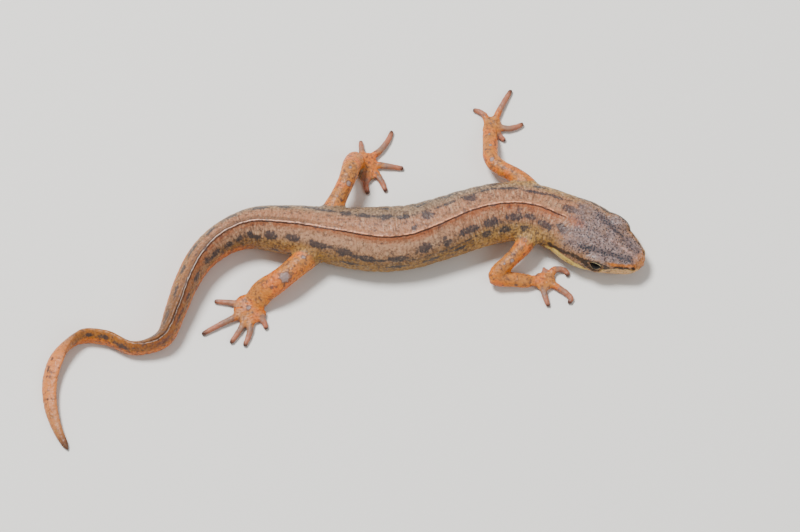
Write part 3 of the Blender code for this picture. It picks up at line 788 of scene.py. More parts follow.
@dataclass
class HeadSculpt:
    """The forms of the head: lids, mouth, nostrils, ridges and folds."""

    mouth_corner: float = 6.9
    mouth_turn: float = 95
    mouth_depth: float = 0.15
    mouth_width: float = 0.12
    lip_heights: tuple = (0.07, 0.03)
    nostril: tuple = (0.75, 56)
    nostril_depth: float = 0.3
    nostril_rim: float = 0.06
    # Ridges and grooves of the snout: places on the left side, height and width.
    ridges: tuple = (
        (((3.1, 58), (2, 52), (0.9, 48)), 0.13, 0.32),
        (((6.2, 42), (4.4, 30), (2.4, 18), (1, 8)), -0.1, 0.28),
    )
    rim_height: float = 0.15
    under_lid: float = -0.07
    ball_cover: float = 0.10

    def mouth_line(self) -> tuple:
        """Returns the line of the mouth on the left side, from the jaw's corner to the snout."""
        return tuple((s, self.mouth_turn) for s in np.linspace(self.mouth_corner, 0.03, 14))

    def shape(self, skin: SkinMesh, sockets: list) -> None:
        """Moves the skin's points of the head.

        Args:
            skin: The skin's points.
            sockets: The two eyes.
        """
        for socket in sockets:
            self.open_lids(skin, socket)
        normals = skin.normals()
        turn = np.abs(skin.turn)
        move = np.zeros(len(skin.co))
        for side in Side:
            lip = skin.line_on_body(mirror(self.mouth_line(), side))
            move -= self.mouth_depth * hump(lip, 0, self.mouth_width)
            move += np.where(turn < self.mouth_turn, *self.lip_heights) * hump(lip, 0.36, 0.2)
            place = skin.trunk.surface(self.nostril[0], side.value * self.nostril[1])
            pit = np.linalg.norm(skin.co - place, axis=1)
            move -= self.nostril_depth * hump(pit, 0, 0.17)
            move += self.nostril_rim * hump(pit, 0.36, 0.12)
            for line, height, width in self.ridges:
                move += height * hump(skin.line_on_body(mirror(line, side)), 0, width)
        throat, cheek = smooth_step(105, 125, turn), hump(turn, 88, 26)
        # Folds behind the head: height, place, width and where.
        for height, middle, width, where in (
            (-0.16, 10.1, 0.28, throat),
            (0.08, 9.5, 0.4, throat),
            (-0.12, 10.6, 1.1, cheek),
        ):
            move += height * hump(skin.s, middle, width) * where
        skin.co += normals * move[:, None]

    def open_lids(self, skin: SkinMesh, socket: EyeSocket) -> None:
        """Raises the rim of the lids and sinks the skin behind the ball between them.

        Args:
            skin: The skin's points.
            socket: The eye.
        """
        place = socket.local(skin.co)
        far = np.linalg.norm(place, axis=1)
        x, y, z = place.T
        oval = np.sqrt((x / socket.opening[0]) ** 2 + (y / socket.opening[1]) ** 2)
        front = (z > 0.1) & (far < 2.2)
        rim = np.where(front, hump(oval, 1.32, 0.26), 0) * self.rim_height
        under = np.where(front & (y < 0), hump(oval, 2.0, 0.3), 0) * self.under_lid
        inside = np.where(front, smooth_step(1.12, 0.92, oval), 0)
        sunk = socket.radius - self.ball_cover
        target = (far + rim + under) * (1 - inside) + sunk * inside
        moved = carry(socket.frame(), place * (target / np.maximum(far, 1e-6))[:, None])
        skin.co = np.where((far < 2.4)[:, None], moved, skin.co)


@dataclass
class BodySculpt:
    """The forms of trunk, tail and limbs: side folds, fine wrinkles and knuckles."""

    first_fold: float = 15.5
    last_fold: float = 40.0
    fold_step: float = 1.95
    fold_depth: float = 0.055
    fold_width: float = 0.26
    fold_slant: float = 0.012
    wrinkle_depth: float = 0.035
    pebble_depth: float = 0.016
    knuckle_depth: float = 0.03
    # Below this height the skin lies on the floor and stays smooth.
    sole_height: float = 0.06

    def shape(self, skin: SkinMesh) -> None:
        """Moves the skin's points of the body.

        Args:
            skin: The skin's points.
        """
        normals = skin.normals()
        turn = np.abs(skin.turn)
        trunk_only = 1 - skin.limb
        flank = smooth_step(38, 62, turn) * smooth_step(150, 128, turn) * trunk_only
        move = np.zeros(len(skin.co))
        slant = skin.s + self.fold_slant * (turn - 90)
        for middle in np.arange(self.first_fold, self.last_fold, self.fold_step):
            move -= self.fold_depth * hump(slant, middle, self.fold_width) * flank
        rough = np.array(
            [noise.noise(Vector((s * 2.3, t * 0.045, 3.0))) for s, t in zip(skin.s, skin.turn)]
        )
        fine = np.array([noise.noise(Vector(p) * 2.6) for p in skin.co])
        quiet = smooth_step(8.5, 11.0, skin.s) * trunk_only
        move += self.wrinkle_depth * rough * quiet * smooth_step(25, 55, turn)
        move += self.pebble_depth * fine
        move += self.knuckle_depth * joint_rings(skin.share) * skin.limb * fine
        move = np.where(skin.co[:, 2] < self.sole_height, 0, move)
        skin.co += normals * move[:, None]


def joint_rings(share: np.ndarray) -> np.ndarray:
    """Returns how near a share along the limb is to elbow, wrist and knuckles."""
    return hump(share, 0.5, 0.12) + hump(share, 0.98, 0.08) + hump(share, 1.5, 0.2)


@dataclass
class SkinMarks:
    """Where the markings lie: blotches, lines and spots, by place on the animal."""

    # Distance from the snout, turn from the back's middle, half length and half width. The last
    # rows of each side lie lower, on the flank.
    right_blotches: tuple = (
        (10, 22, 1, 0.46), (12.2, 31, 1.2, 0.4), (14.5, 27, 1, 0.36), (16.5, 28, 1.3, 0.45),
        (19.8, 33, 1.1, 0.55), (22.7, 34, 1.5, 0.45), (25.5, 40, 0.6, 0.38), (25.7, 29, 0.3, 0.25),
        (28.1, 34, 0.85, 0.55), (30.9, 44, 1.1, 0.42), (32.6, 46, 0.8, 0.2), (34.3, 45, 1.2, 0.4),
        (36.5, 40, 1, 0.48), (39.4, 38, 1.6, 0.42), (42.6, 34, 1.1, 0.48), (45.3, 36, 0.9, 0.52),
        (47.2, 45, 0.7, 0.34), (48.2, 37, 0.5, 0.55), (49.9, 42, 0.6, 0.38), (51.5, 46, 0.7, 0.36),
        (53.9, 43, 1, 0.36), (55.2, 37, 0.6, 0.4), (57.8, 36, 0.8, 0.32), (60.4, 40, 0.6, 0.26),
        (63.2, 42, 0.8, 0.22), (66, 46, 0.7, 0.22), (70.6, 52, 1.1, 0.24), (72.8, 48, 0.7, 0.22),
        (74.6, 46, 0.6, 0.18), (82.4, 96, 0.22, 0.13), (83.1, 92, 0.16, 0.11), (15.3, 52, 0.7, 0.4),
        (18.1, 53, 0.9, 0.45), (20.6, 55, 0.7, 0.42), (24.4, 64, 0.9, 0.22), (27.6, 66, 1, 0.22),
        (31, 64, 1.4, 0.2), (36, 66, 1.2, 0.2), (44.8, 78, 0.45, 0.35), (42.9, 84, 0.35, 0.25),
    )
    left_blotches: tuple = (
        (8.8, 30, 1, 0.34), (10.3, 16, 1, 0.42), (12.2, 33, 0.9, 0.24), (14.4, 29, 1.2, 0.24),
        (17, 34, 1.3, 0.24), (19.2, 36, 0.9, 0.24), (21.3, 25, 0.9, 0.5), (23.7, 31, 1.2, 0.24),
        (26.9, 24, 0.8, 0.58), (28.8, 8, 0.35, 0.3), (29.8, 35, 1, 0.34), (32.2, 37, 1.1, 0.4),
        (34.8, 38, 1.3, 0.34), (36.9, 40, 1, 0.42), (39.3, 45, 1.1, 0.3), (41.3, 53, 1, 0.28),
        (44.3, 50, 0.7, 0.4), (46.9, 46, 1, 0.36), (49.7, 47, 0.6, 0.34), (52.5, 42, 0.7, 0.32),
        (55, 52, 0.9, 0.32), (57.6, 46, 0.6, 0.3), (60.3, 38, 0.8, 0.28), (63.5, 34, 0.9, 0.26),
        (66.6, 30, 1, 0.24), (69.6, 28, 0.8, 0.2), (74, 55, 0.6, 0.18), (79.8, 82, 0.25, 0.16),
        (81.1, 88, 0.3, 0.14), (81.9, 86, 0.2, 0.12), (84.6, 80, 0.15, 0.1), (14.2, 50, 0.6, 0.3),
        (18.3, 56, 0.8, 0.3), (23.5, 55, 0.8, 0.3), (27.2, 56, 0.9, 0.24), (32, 62, 0.8, 0.26),
        (36, 66, 1, 0.24), (43, 76, 0.5, 0.3),
    )
    # Lines by distance from the snout and turn.
    left_line: Stroke = Stroke(
        (
            ((10.5, 37), (13.6, 30), (15.3, 30), (17.3, 35), (19.8, 34), (22.1, 33)),
            ((18.6, 49), (20.4, 55), (22.8, 55), (24.3, 59), (26.6, 60), (28.5, 64)),
            ((22.1, 33), (25.5, 31), (30, 36), (34, 38), (38, 42), (42, 50)),
        ),
        width=0.18,
        sides=(Side.LEFT,),
    )
    right_line: Stroke = Stroke(
        (((31, 49), (27.9, 52), (25.4, 55), (23, 52), (21.2, 50), (19.8, 45)),),
        width=0.15,
        sides=(Side.RIGHT,),
    )
    eye_streak: Stroke = Stroke(
        (
            ((11, 72), (9.7, 68), (8.7, 63), (7.6, 58), (6.8, 59), (6.2, 64)),
            ((3.3, 61), (2.3, 59), (1.4, 55.5), (0.7, 54)),
        ),
        width=0.34,
    )
    crown_dark: Stroke = Stroke(
        (((7.1, 31), (5.4, 26), (4, 23), (2.6, 21), (1.2, 18)),), width=0.42
    )
    # The pale ridges of the snout lie a little to the left, as in the photograph.
    snout_pale: Stroke = Stroke(
        (((4.4, 2), (3.2, 1), (2, 0), (0.9, 0)), ((3.4, 24), (2.4, 20), (1.2, 15))),
        width=0.17,
        sides=(Side.LEFT,),
    )
    jaw_pale: Stroke = Stroke(
        (
            ((11, 89), (9.6, 88), (8.4, 89), (7.2, 94), (6.2, 98), (5, 97)),
            ((10, 82), (9, 80), (8, 82), (7, 87), (6.2, 91)),
            ((5, 97), (4.2, 88), (3.4, 80), (2.2, 76), (0.9, 74)),
            ((5, 99), (3.6, 96), (2.2, 92), (0.3, 90)),
        ),
        width=0.46,
    )
    lip_right: Stroke = Stroke(
        (((5.4, 54), (4.8, 53), (4, 52), (2.8, 50), (1.6, 44), (0.6, 38)),),
        width=0.30,
        sides=(Side.RIGHT,),
    )
    lip_left: Stroke = Stroke(
        (((4, 82), (2.8, 78), (1.6, 72), (0.6, 60)),), width=0.28, sides=(Side.LEFT,)
    )
    # The mouth's slit on the left side, painted dark as shade.
    mouth_shade_left: Stroke = Stroke(
        (((4.1, 73), (3, 71), (2, 68), (1.2, 62), (0.6, 54)),), width=0.10, sides=(Side.LEFT,)
    )
    # Half width of the mouth's painted shade.
    mouth_shade_width: float = 0.11
    # Round spots on the limbs: place over the floor and height, and radius.
    limb_spots: tuple = (
        (-13.05, -2.85, 3.35, 0.8), (-11, -0.5, 3.9, 0.26), (-12.2, -1.9, 3.6, 0.2),
        (-17.2, -5.6, 1.2, 0.42), (-16, -4.6, 1.4, 0.24), (-14.6, -3.9, 2.6, 0.2),
        (-5.9, 8.3, 4.6, 0.4), (-6.6, 7, 4.6, 0.26), (-5.7, 10.4, 4.6, 0.3), (-4.4, 12.6, 1.4, 0.3),
        (12.8, -0.5, 2.8, 0.32), (11.9, -0.9, 2.8, 0.22), (13.5, -1.9, 1.7, 0.18),
        (10.6, 12.1, 3.1, 0.36), (10.5, 14.2, 2.4, 0.28), (10.4, 16, 1.8, 0.22),
    )

    def blotch_field(self, skin: SkinMesh) -> np.ndarray:
        """Makes a field that is positive inside the blotches.

        Args:
            skin: The skin's points.

        Returns:
            The field, from -1 to 1.
        """
        best = np.full(len(skin.co), -1.0)
        radius = skin.girth_radius()
        for rows, hand in ((self.right_blotches, -1), (self.left_blotches, 1)):
            for s, turn, length, width in rows:
                near = np.abs(skin.s - s) < 2 * length + 1
                along = (skin.s[near] - s) / length
                across = np.radians(skin.turn[near] - hand * turn) * radius[near] / width
                best[near] = np.maximum(best[near], 1 - along**2 - across**2)
        joined = np.maximum(self.left_line.field(skin), self.right_line.field(skin))
        return np.maximum(best, 1.4 * joined - 1) * (1 - skin.limb) - skin.limb

    def spot_field(self, skin: SkinMesh) -> np.ndarray:
        """Makes a field for the limbs' round spots.

        Args:
            skin: The skin's points.

        Returns:
            The field, 1 in the middle of a spot and 0 at its edge and beyond.
        """
        best = np.zeros(len(skin.co))
        for *place, radius in self.limb_spots:
            best = np.maximum(best, 1 - np.linalg.norm(skin.co - place, axis=1) / radius)
        return best


def linear(code: str) -> tuple:
    """Turns an sRGB hex colour to linear.

    Args:
        code: Such as "#A07F66".

    Returns:
        Red, green, blue and alpha.
    """
    parts = [int(code[i : i + 2], 16) / 255 for i in (1, 3, 5)]
    return (*[v / 12.92 if v <= 0.04045 else ((v + 0.055) / 1.055) ** 2.4 for v in parts], 1.0)


def add(tree: bpy.types.NodeTree, kind: str, sockets: dict = None, **settings: object) -> object:
    """Adds a node with its settings and links.

    Args:
        tree: The material's node tree.
        kind: The node's type.
        sockets: Input name or number, with the socket to link or the value to set.
        **settings: The node's own settings.

    Returns:
        The node's outputs.
    """
    made = tree.nodes.new(kind)
    for name, value in settings.items():
        setattr(made, name, value)
    for name, value in (sockets or {}).items():
        if isinstance(value, bpy.types.NodeSocket):
            tree.links.new(value, made.inputs[name])
        else:
            made.inputs[name].default_value = value
    return made.outputs


class PaintLayers:
    """A material whose colours are laid over one another."""

    def __init__(self, name: str, ground: str) -> None:
        """Starts the material with one even colour.

        Args:
            name: Name of the material.
            ground: The even colour as sRGB hex.
        """
        self.material = bpy.data.materials.new(name)
        self.material.use_nodes = True
        self.tree = self.material.node_tree
        self.tree.nodes.clear()
        self.top = add(self.tree, "ShaderNodeRGB")[0]
        self.top.default_value = linear(ground)

    def lay(
        self,
        code: str,
        mask: object,
        low: float,
        high: float,
        strength: float = 1,
        within: object = None,
    ) -> None:
        """Lays a colour where a mask is high.

        Args:
            code: The colour as sRGB hex.
            mask: The socket that says where.
            low: The mask's value where the colour starts.
            high: The mask's value where it is full.
            strength: How much of the colour is laid at most.
            within: A second mask that the layer is multiplied with.
        """
        eased = self.rise(mask, low, high, strength)
        if within is not None:
            eased = self.both(eased, within)
        sockets = {0: eased, 6: self.top, 7: linear(code)}
        self.top = add(self.tree, "ShaderNodeMix", sockets, data_type="RGBA")[2]

    def rise(self, mask: object, low: float, high: float, top: float = 1) -> object:
        """Returns a mask that eases from 0 at one value to the top at another."""
        sockets = {"Value": mask, "From Min": low, "From Max": high, "To Max": top}
        return add(self.tree, "ShaderNodeMapRange", sockets, interpolation_type="SMOOTHSTEP")[0]

    def both(self, mask: object, other: object) -> object:
        """Returns the product of two masks."""
        return add(self.tree, "ShaderNodeMath", {0: mask, 1: other}, operation="MULTIPLY")[0]

    def span(self, mask: object, out: float, full: float, still: float, end: float) -> object:
        """Returns a mask that is 1 between two values and eases to 0 on both sides."""
        return self.both(self.rise(mask, out, full), self.rise(mask, end, still))

    def tear(self, mask: object, pattern: object, amount: float) -> object:
        """Returns a mask with a pattern added to it, which makes its edge ragged."""
        sockets = {0: pattern, 1: amount, 2: mask}
        return add(self.tree, "ShaderNodeMath", sockets, operation="MULTIPLY_ADD")[0]

    def off(self, mask: object, middle: float) -> object:
        """Returns how far a mask's value lies from a middle value."""
        away = add(self.tree, "ShaderNodeMath", {0: mask, 1: middle}, operation="SUBTRACT")[0]
        return add(self.tree, "ShaderNodeMath", {0: away}, operation="ABSOLUTE")[0]

    def finish(self, sockets: dict) -> bpy.types.Material:
        """Adds the shader under the painted colour.

        Args:
            sockets: The shader's other inputs.

        Returns:
            The material.
        """
        sockets["Base Color"] = self.top
        shader = add(self.tree, "ShaderNodeBsdfPrincipled", sockets)[0]
        add(self.tree, "ShaderNodeOutputMaterial", {"Surface": shader})
        return self.material


@dataclass
class SkinPatterns:
    """The places stored on the skin and the noise patterns, as sockets of one material."""

    paint: PaintLayers
    cloud_size: float = 2.2
    edge_size: float = 0.7
    fleck_size: float = 0.55
    # The real grain is about 0.1 mm; it is drawn at 0.3 mm, so that it shows.
    grain_size: float = 0.30
    speck_spacing: float = 0.34
    # Pebbles of the relief in each millimetre, and wrinkles along the body and round it.
    pebble_rate: float = 3.4
    wrinkle_rate: tuple = (3.7, 0.95, 0)

    def __post_init__(self) -> None:
        """Adds the nodes."""
        paint, tree = self.paint, self.paint.tree
        where = add(tree, "ShaderNodeTexCoord")["Object"]
        sockets = {0: where, "Scale": 1 / MM}
        self.mm = add(tree, "ShaderNodeVectorMath", sockets, operation="SCALE")[0]
        maps = {}
        for name in ("spine", "girth", "mark", "face", "limb"):
            stored = add(tree, "ShaderNodeAttribute", attribute_name=f"{name}_map")["Vector"]
            maps[name] = (stored, *add(tree, "ShaderNodeSeparateXYZ", {0: stored}))
        _, self.s, self.across, self.turn = maps["spine"]
        self.upper = paint.both(paint.rise(self.turn, 72, 46), paint.rise(self.s, 68, 60))
        girth, _, _, self.hatched = maps["girth"]
        _, self.blotch, self.streak, self.jaw = maps["mark"]
        _, self.crown, self.lip, self.bridge = maps["face"]
        _, self.limb, self.share, self.spot = maps["limb"]
        sizes = (self.cloud_size, self.edge_size, self.fleck_size, self.grain_size)
        noises = []
        for size, detail in zip(sizes, (3, 4, 2, 3)):
            sockets = {"Vector": self.mm, "Scale": 1 / size, "Detail": detail}
            noises.append(add(tree, "ShaderNodeTexNoise", sockets)[0])
        self.cloud, self.edge, self.fleck, self.grain = noises
        self.specks, self.head_specks = [
            add(tree, "ShaderNodeTexVoronoi", {"Vector": self.mm, "Scale": 1 / spacing})["Distance"]
            for spacing in (self.speck_spacing, self.speck_spacing * 0.7)
        ]
        sockets = {"Vector": self.mm, "Scale": self.pebble_rate}
        pebbles = add(tree, "ShaderNodeTexVoronoi", sockets, feature="SMOOTH_F1")
        self.pebbles = pebbles["Distance"]
        sockets = {0: girth, 1: self.wrinkle_rate}
        pulled = add(tree, "ShaderNodeVectorMath", sockets, operation="MULTIPLY")[0]
        sockets = {"Vector": pulled, "Scale": 1, "Detail": 3, "Roughness": 0.6, "Distortion": 0.5}
        self.wrinkles = add(tree, "ShaderNodeTexNoise", sockets)[0]


@dataclass(frozen=True)
class MoistNewtSkin:
    """Living amphibian skin, thin, moist and finely grained: a satin gloss in broken glints."""

    back: str = "#9C6A4C"
    shoulder: str = "#8C6A42"
    flank: str = "#8E6426"
    flank_front: str = "#B4884A"
    flank_fleck: str = "#C69A50"
    far_flank: str = "#7D6A58"
    belly: str = "#C98A45"
    head: str = "#7E6A66"
    head_brown: str = "#84624A"
    head_pale: str = "#A89490"
    head_side: str = "#A07040"
    bridge: str = "#AC877C"
    snout: str = "#B8702C"
    nape: str = "#985030"
    blotch: str = "#282C34"
    # The fleck colour also paints shade in the crease at each limb's root.
    fleck: str = "#4A3526"
    # Painted shade in the wrinkles' creases, and dark specks.
    crease_shade_and_speck: str = "#40342C"
    # Pale flecks, and painted light on the back's right side and on the wrinkles' crests.
    pale_fleck_and_light: str = "#C0A080"
    # The back's pale line and dark edge are partly painted highlight and shade.
    ridge_line_and_highlight: str = "#E09A72"
    ridge_grey_and_highlight: str = "#CDBDB2"
    ridge_glow: str = "#A04C1E"
    ridge_edge_and_shade: str = "#26140F"
    jaw: str = "#E2C264"
    jaw_front: str = "#C8966C"
    lip: str = "#B4661C"
    streak: str = "#2A2019"
    limb: str = "#CC7218"
    limb_wash: str = "#926840"
    limb_pink: str = "#C86034"
    limb_spot: str = "#4E3D3A"
    spot_middle: str = "#907C78"
    toe: str = "#7C655C"
    toe_tip: str = "#33231F"
    tail_bend: str = "#96580C"
    tail_orange: str = "#CC6608"
    tail_tip: str = "#C4743C"
    tail_end: str = "#9C6A44"
    # The roughness goes up and down with the grain, which breaks up the gloss.
    roughness: float = 0.40
    ior: float = 1.42
    # Depth of the grain, pebbles and wrinkles, in metres.
    relief_depth: float = 0.00012

    def make(self) -> bpy.types.Material:
        """Makes the material.

        Returns:
            The skin's material.
        """
        paint = PaintLayers("moist_newt_skin", self.back)
        look = SkinPatterns(paint)
        self.lay_ground(paint, look)
        self.lay_texture(paint, look)
        self.lay_ridge(paint, look)
        self.lay_face(paint, look)
        self.lay_limbs(paint, look)
        relief = paint.tear(look.grain, look.pebbles, -0.7)
        relief = paint.tear(relief, paint.both(look.wrinkles, look.hatched), -1.6)
        sockets = {"Height": relief, "Strength": 0.7, "Distance": self.relief_depth}
        bump = add(paint.tree, "ShaderNodeBump", sockets)[0]
        sockets = {"Value": look.grain, "From Min": 0.3, "From Max": 0.7}
        sockets.update({"To Min": self.roughness - 0.1, "To Max": self.roughness + 0.14})
        return paint.finish(
            {
                "Roughness": add(paint.tree, "ShaderNodeMapRange", sockets)[0],
                "IOR": self.ior,
                "Specular IOR Level": 0.34,
                "Normal": bump,
                "Subsurface Weight": 0.05,
                "Subsurface Scale": 0.0006,
            }
        )

    # In the layers below, places on the body are millimetres from the snout and degrees from the
    # back's middle, and the other masks run from 0 to about 1.

    def lay_ground(self, paint: PaintLayers, look: SkinPatterns) -> None:
        """Paints the ground colours of back, flanks, belly and tail, and a pale wash of painted
        light.

        Args:
            paint: The layers so far.
            look: The skin's patterns.
        """
        wavy = paint.tear(look.turn, look.edge, 24)
        paint.lay(self.shoulder, wavy, 38, 60, 0.7)
        paint.lay(self.flank, wavy, 54, 78)
        low = paint.rise(wavy, 48, 66)
        paint.lay(self.flank_front, paint.span(look.s, 8, 15, 21, 24), 0, 1, 0.85, low)
        paint.lay(self.flank_front, paint.span(look.s, 40, 42, 45.5, 47.5), 0, 1, 0.65, low)
        paint.lay(self.far_flank, look.across, 1.3, 2.5, 0.75, paint.span(look.s, 13, 20, 50, 60))
        # Painted light: a pale wash on the right side of the back, 22 to 60 mm from the snout.
        sunny = paint.both(paint.span(look.s, 22, 27, 50, 60), paint.rise(wavy, 58, 44))
        paint.lay(self.pale_fleck_and_light, look.across, -0.4, -1.2, 0.3, sunny)
        paint.lay(self.belly, wavy, 128, 150)
        paint.lay(self.tail_bend, look.s, 50, 66, 0.8)
        low = paint.both(paint.rise(wavy, 60, 96), paint.rise(look.s, 43, 54))
        paint.lay(self.tail_orange, low, 0.1, 0.9, 0.9)
        paint.lay(self.tail_tip, look.s, 76, 79, 0.95)
        paint.lay(self.tail_end, look.s, 83, 88, 0.6)
        paint.lay(self.toe_tip, look.s, 88, 90.6, 0.8)
        paint.lay(self.fleck, look.fleck, 0.54, 0.7, 0.42)
        paint.lay(self.pale_fleck_and_light, look.cloud, 0.56, 0.74, 0.2, look.upper)

    def lay_texture(self, paint: PaintLayers, look: SkinPatterns) -> None:
        """Paints the wrinkles' painted shade and light, specks and blotches of the body.

        Args:
            paint: The layers so far.
            look: The skin's patterns.
        """
        # Painted shade in the creases of the fine cross wrinkles and painted light on their crests.
        paint.lay(self.crease_shade_and_speck, look.wrinkles, 0.5, 0.64, 0.5, look.hatched)
        paint.lay(self.pale_fleck_and_light, look.wrinkles, 0.46, 0.34, 0.42, look.hatched)
        shown = paint.rise(look.s, 79, 74)
        paint.lay(self.fleck, look.grain, 0.5, 0.66, 0.32, shown)
        paint.lay(self.pale_fleck_and_light, look.grain, 0.46, 0.32, 0.22, look.upper)
        paint.lay(self.flank_fleck, look.grain, 0.46, 0.32, 0.26, paint.rise(look.turn, 46, 72))
        dotted = paint.tear(look.specks, look.fleck, -0.55)
        dotted = paint.tear(dotted, paint.rise(look.turn, 18, 58), -0.24)
        dotted = paint.tear(dotted, look.hatched, -0.06)
        paint.lay(self.crease_shade_and_speck, dotted, -0.06, -0.18, 0.5, shown)
        torn = paint.tear(look.blotch, look.wrinkles, 1.5)
        torn = paint.tear(paint.tear(torn, look.edge, 1.9), look.grain, 1.5)
        paint.lay(self.blotch, torn, 1.75, 2.6, 0.3)
        paint.lay(self.blotch, torn, 2.42, 2.9, 0.7)
        paint.lay(self.pale_fleck_and_light, look.grain, 0.42, 0.3, 0.22, paint.rise(torn, 2.4, 2.9))

    def lay_ridge(self, paint: PaintLayers, look: SkinPatterns) -> None:
        """Paints the back's pale line and dark edge, partly painted light and shade, and orange
        glow.

        Args:
            paint: The layers so far.
            look: The skin's patterns.
        """
        shown = paint.both(paint.span(look.s, 9.2, 11.2, 64, 73), paint.rise(look.turn, 80, 60))
        swayed = paint.tear(look.across, look.edge, 0.22)
        swayed = paint.tear(swayed, paint.span(look.s, 57, 63, 66, 71), 0.3)
        patchy = paint.both(paint.rise(look.cloud, 0.36, 0.62), paint.rise(look.s, 40, 26))
        grey = paint.rise(look.s, 38, 52)
        # The pale crest line is partly painted highlight, the dark edge to its right partly painted
        # shade.
        # Colour, middle and half width beside the back's middle line, strength and where.
        for code, middle, half, strength, where in (
            (self.ridge_glow, -0.29, 0.8, 0.34, patchy),
            (self.ridge_glow, -0.14, 0.4, 0.32, paint.rise(look.edge, 0.36, 0.5)),
            (self.fleck, 0.46, 0.35, 0.5, paint.rise(look.s, 36, 44)),
            (self.fleck, 0.96, 0.6, 0.55, paint.span(look.s, 59, 63, 69, 72)),
            (self.ridge_edge_and_shade, 0.01, 0.2, 0.88, paint.rise(look.s, 54, 46)),
            (self.ridge_edge_and_shade, 0.03, 0.16, 0.8, paint.both(grey, paint.rise(look.s, 67, 59))),
            (self.ridge_edge_and_shade, 0.23, 0.14, 0.7, grey),
            (self.ridge_line_and_highlight, 0.14, 0.1, 0.9, paint.rise(look.s, 56, 46)),
            (self.ridge_grey_and_highlight, 0.14, 0.045, 0.7, grey),
            (self.ridge_edge_and_shade, 0.14, 0.12, 0.6, paint.rise(look.fleck, 0.52, 0.62)),
        ):
            band = paint.both(paint.rise(paint.off(swayed, middle), half, half * 0.4), shown)
            paint.lay(code, band, 0, 1, strength, where)

    def lay_face(self, paint: PaintLayers, look: SkinPatterns) -> None:
        """Paints the head: grey-mauve crown, dark bands, lip, eye streak, jaw and the mouth's
        painted shade.

        Args:
            paint: The layers so far.
            look: The skin's patterns.
        """
        low = paint.tear(look.turn, look.edge, 16)
        on_head = paint.rise(paint.tear(look.s, look.edge, -4), 9, 5.4)
        on_head = paint.both(on_head, paint.rise(low, 94, 80))
        paint.lay(self.head, on_head, 0, 0.9, 0.94)
        paint.lay(self.head_brown, look.cloud, 0.5, 0.66, 0.55, on_head)
        paint.lay(self.head_side, low, 44, 62, 0.75, on_head)
        paint.lay(self.nape, look.bridge, -0.15, -0.75, 0.45)
        paint.lay(self.snout, paint.tear(look.s, look.fleck, 1.2), 2.1, 0.9, 0.8)
        paint.lay(self.bridge, look.bridge, 0.25, 0.8, 0.8)
        paint.lay(self.fleck, look.grain, 0.5, 0.64, 0.5, on_head)
        paint.lay(self.head_pale, look.grain, 0.47, 0.34, 0.36, on_head)
        specks = paint.tear(look.head_specks, look.fleck, -0.26)
        specks = paint.tear(paint.tear(specks, look.crown, -0.12), look.bridge, 0.14)
        specks = paint.tear(specks, paint.rise(look.s, 2, 0.6), 0.12)
        paint.lay(self.blotch, specks, 0.29, 0.15, 0.84, on_head)
        paint.lay(self.blotch, paint.tear(look.crown, look.edge, 0.6), 0.6, 1.2, 0.52)
        warm = paint.rise(paint.tear(look.lip, look.fleck, 1), 0.85, 1.45, 0.85)
        paint.lay(self.lip, warm, 0, 1)
        paint.lay(self.streak, look.grain, 0.48, 0.62, 0.45, warm)
        paint.lay(self.streak, paint.tear(look.streak, look.fleck, 1.9), 1.25, 1.8, 0.9)
        clear = paint.tear(look.jaw, look.fleck, 0.7)
        paint.lay(self.jaw, clear, 0.7, 1.1, 0.95)
        front = paint.both(paint.rise(look.s, 6.2, 4.6), paint.rise(clear, 0.7, 1.1))
        paint.lay(self.jaw_front, front, 0, 1, 0.8)
        paint.lay(self.fleck, specks, 0.22, 0.1, 0.8, front)
        # Painted shade in the mouth's slit, where the lip field is below zero.
        paint.lay(self.streak, look.lip, -0.3, -0.75, 0.6)

    def lay_limbs(self, paint: PaintLayers, look: SkinPatterns) -> None:
        """Paints arms, legs, hands and feet, with painted shade in the crease at each limb's root.

        Args:
            paint: The layers so far.
            look: The skin's patterns.
        """
        limb = paint.rise(paint.tear(look.limb, look.fleck, 0.5), 0.35, 0.75)
        paint.lay(self.limb, limb, 0, 1)
        # Painted shade: a soft dark band in the crease where each limb leaves the body.
        paint.lay(self.fleck, paint.span(limb, 0.05, 0.4, 0.4, 0.9), 0, 1, 0.35)
        normal = add(paint.tree, "ShaderNodeNewGeometry")["Normal"]
        upward = add(paint.tree, "ShaderNodeSeparateXYZ", {0: normal})[2]
        paint.lay(self.limb_pink, look.cloud, 0.52, 0.38, 0.55, limb)
        paint.lay(self.limb_wash, paint.tear(upward, look.cloud, 2.6), 1.7, 2.4, 0.6, limb)
        paint.lay(self.fleck, look.grain, 0.5, 0.66, 0.44, limb)
        paint.lay(self.flank_fleck, look.grain, 0.44, 0.32, 0.22, limb)
        paint.lay(self.limb_spot, look.fleck, 0.57, 0.67, 0.62, limb)
        spot = paint.tear(paint.tear(look.spot, look.edge, 0.9), look.grain, 0.5)
        paint.lay(self.limb_spot, spot, 0.75, 0.92, 0.7)
        paint.lay(self.spot_middle, spot, 0.94, 1.15, 0.8)
        digits = paint.both(look.share, limb)
        paint.lay(self.toe, paint.tear(digits, look.cloud, 1), 1.55, 1.95, 0.75)
        paint.lay(self.limb_pink, digits, 1.35, 1.7, 0.3)
        paint.lay(self.toe_tip, digits, 1.8, 1.97, 0.88)


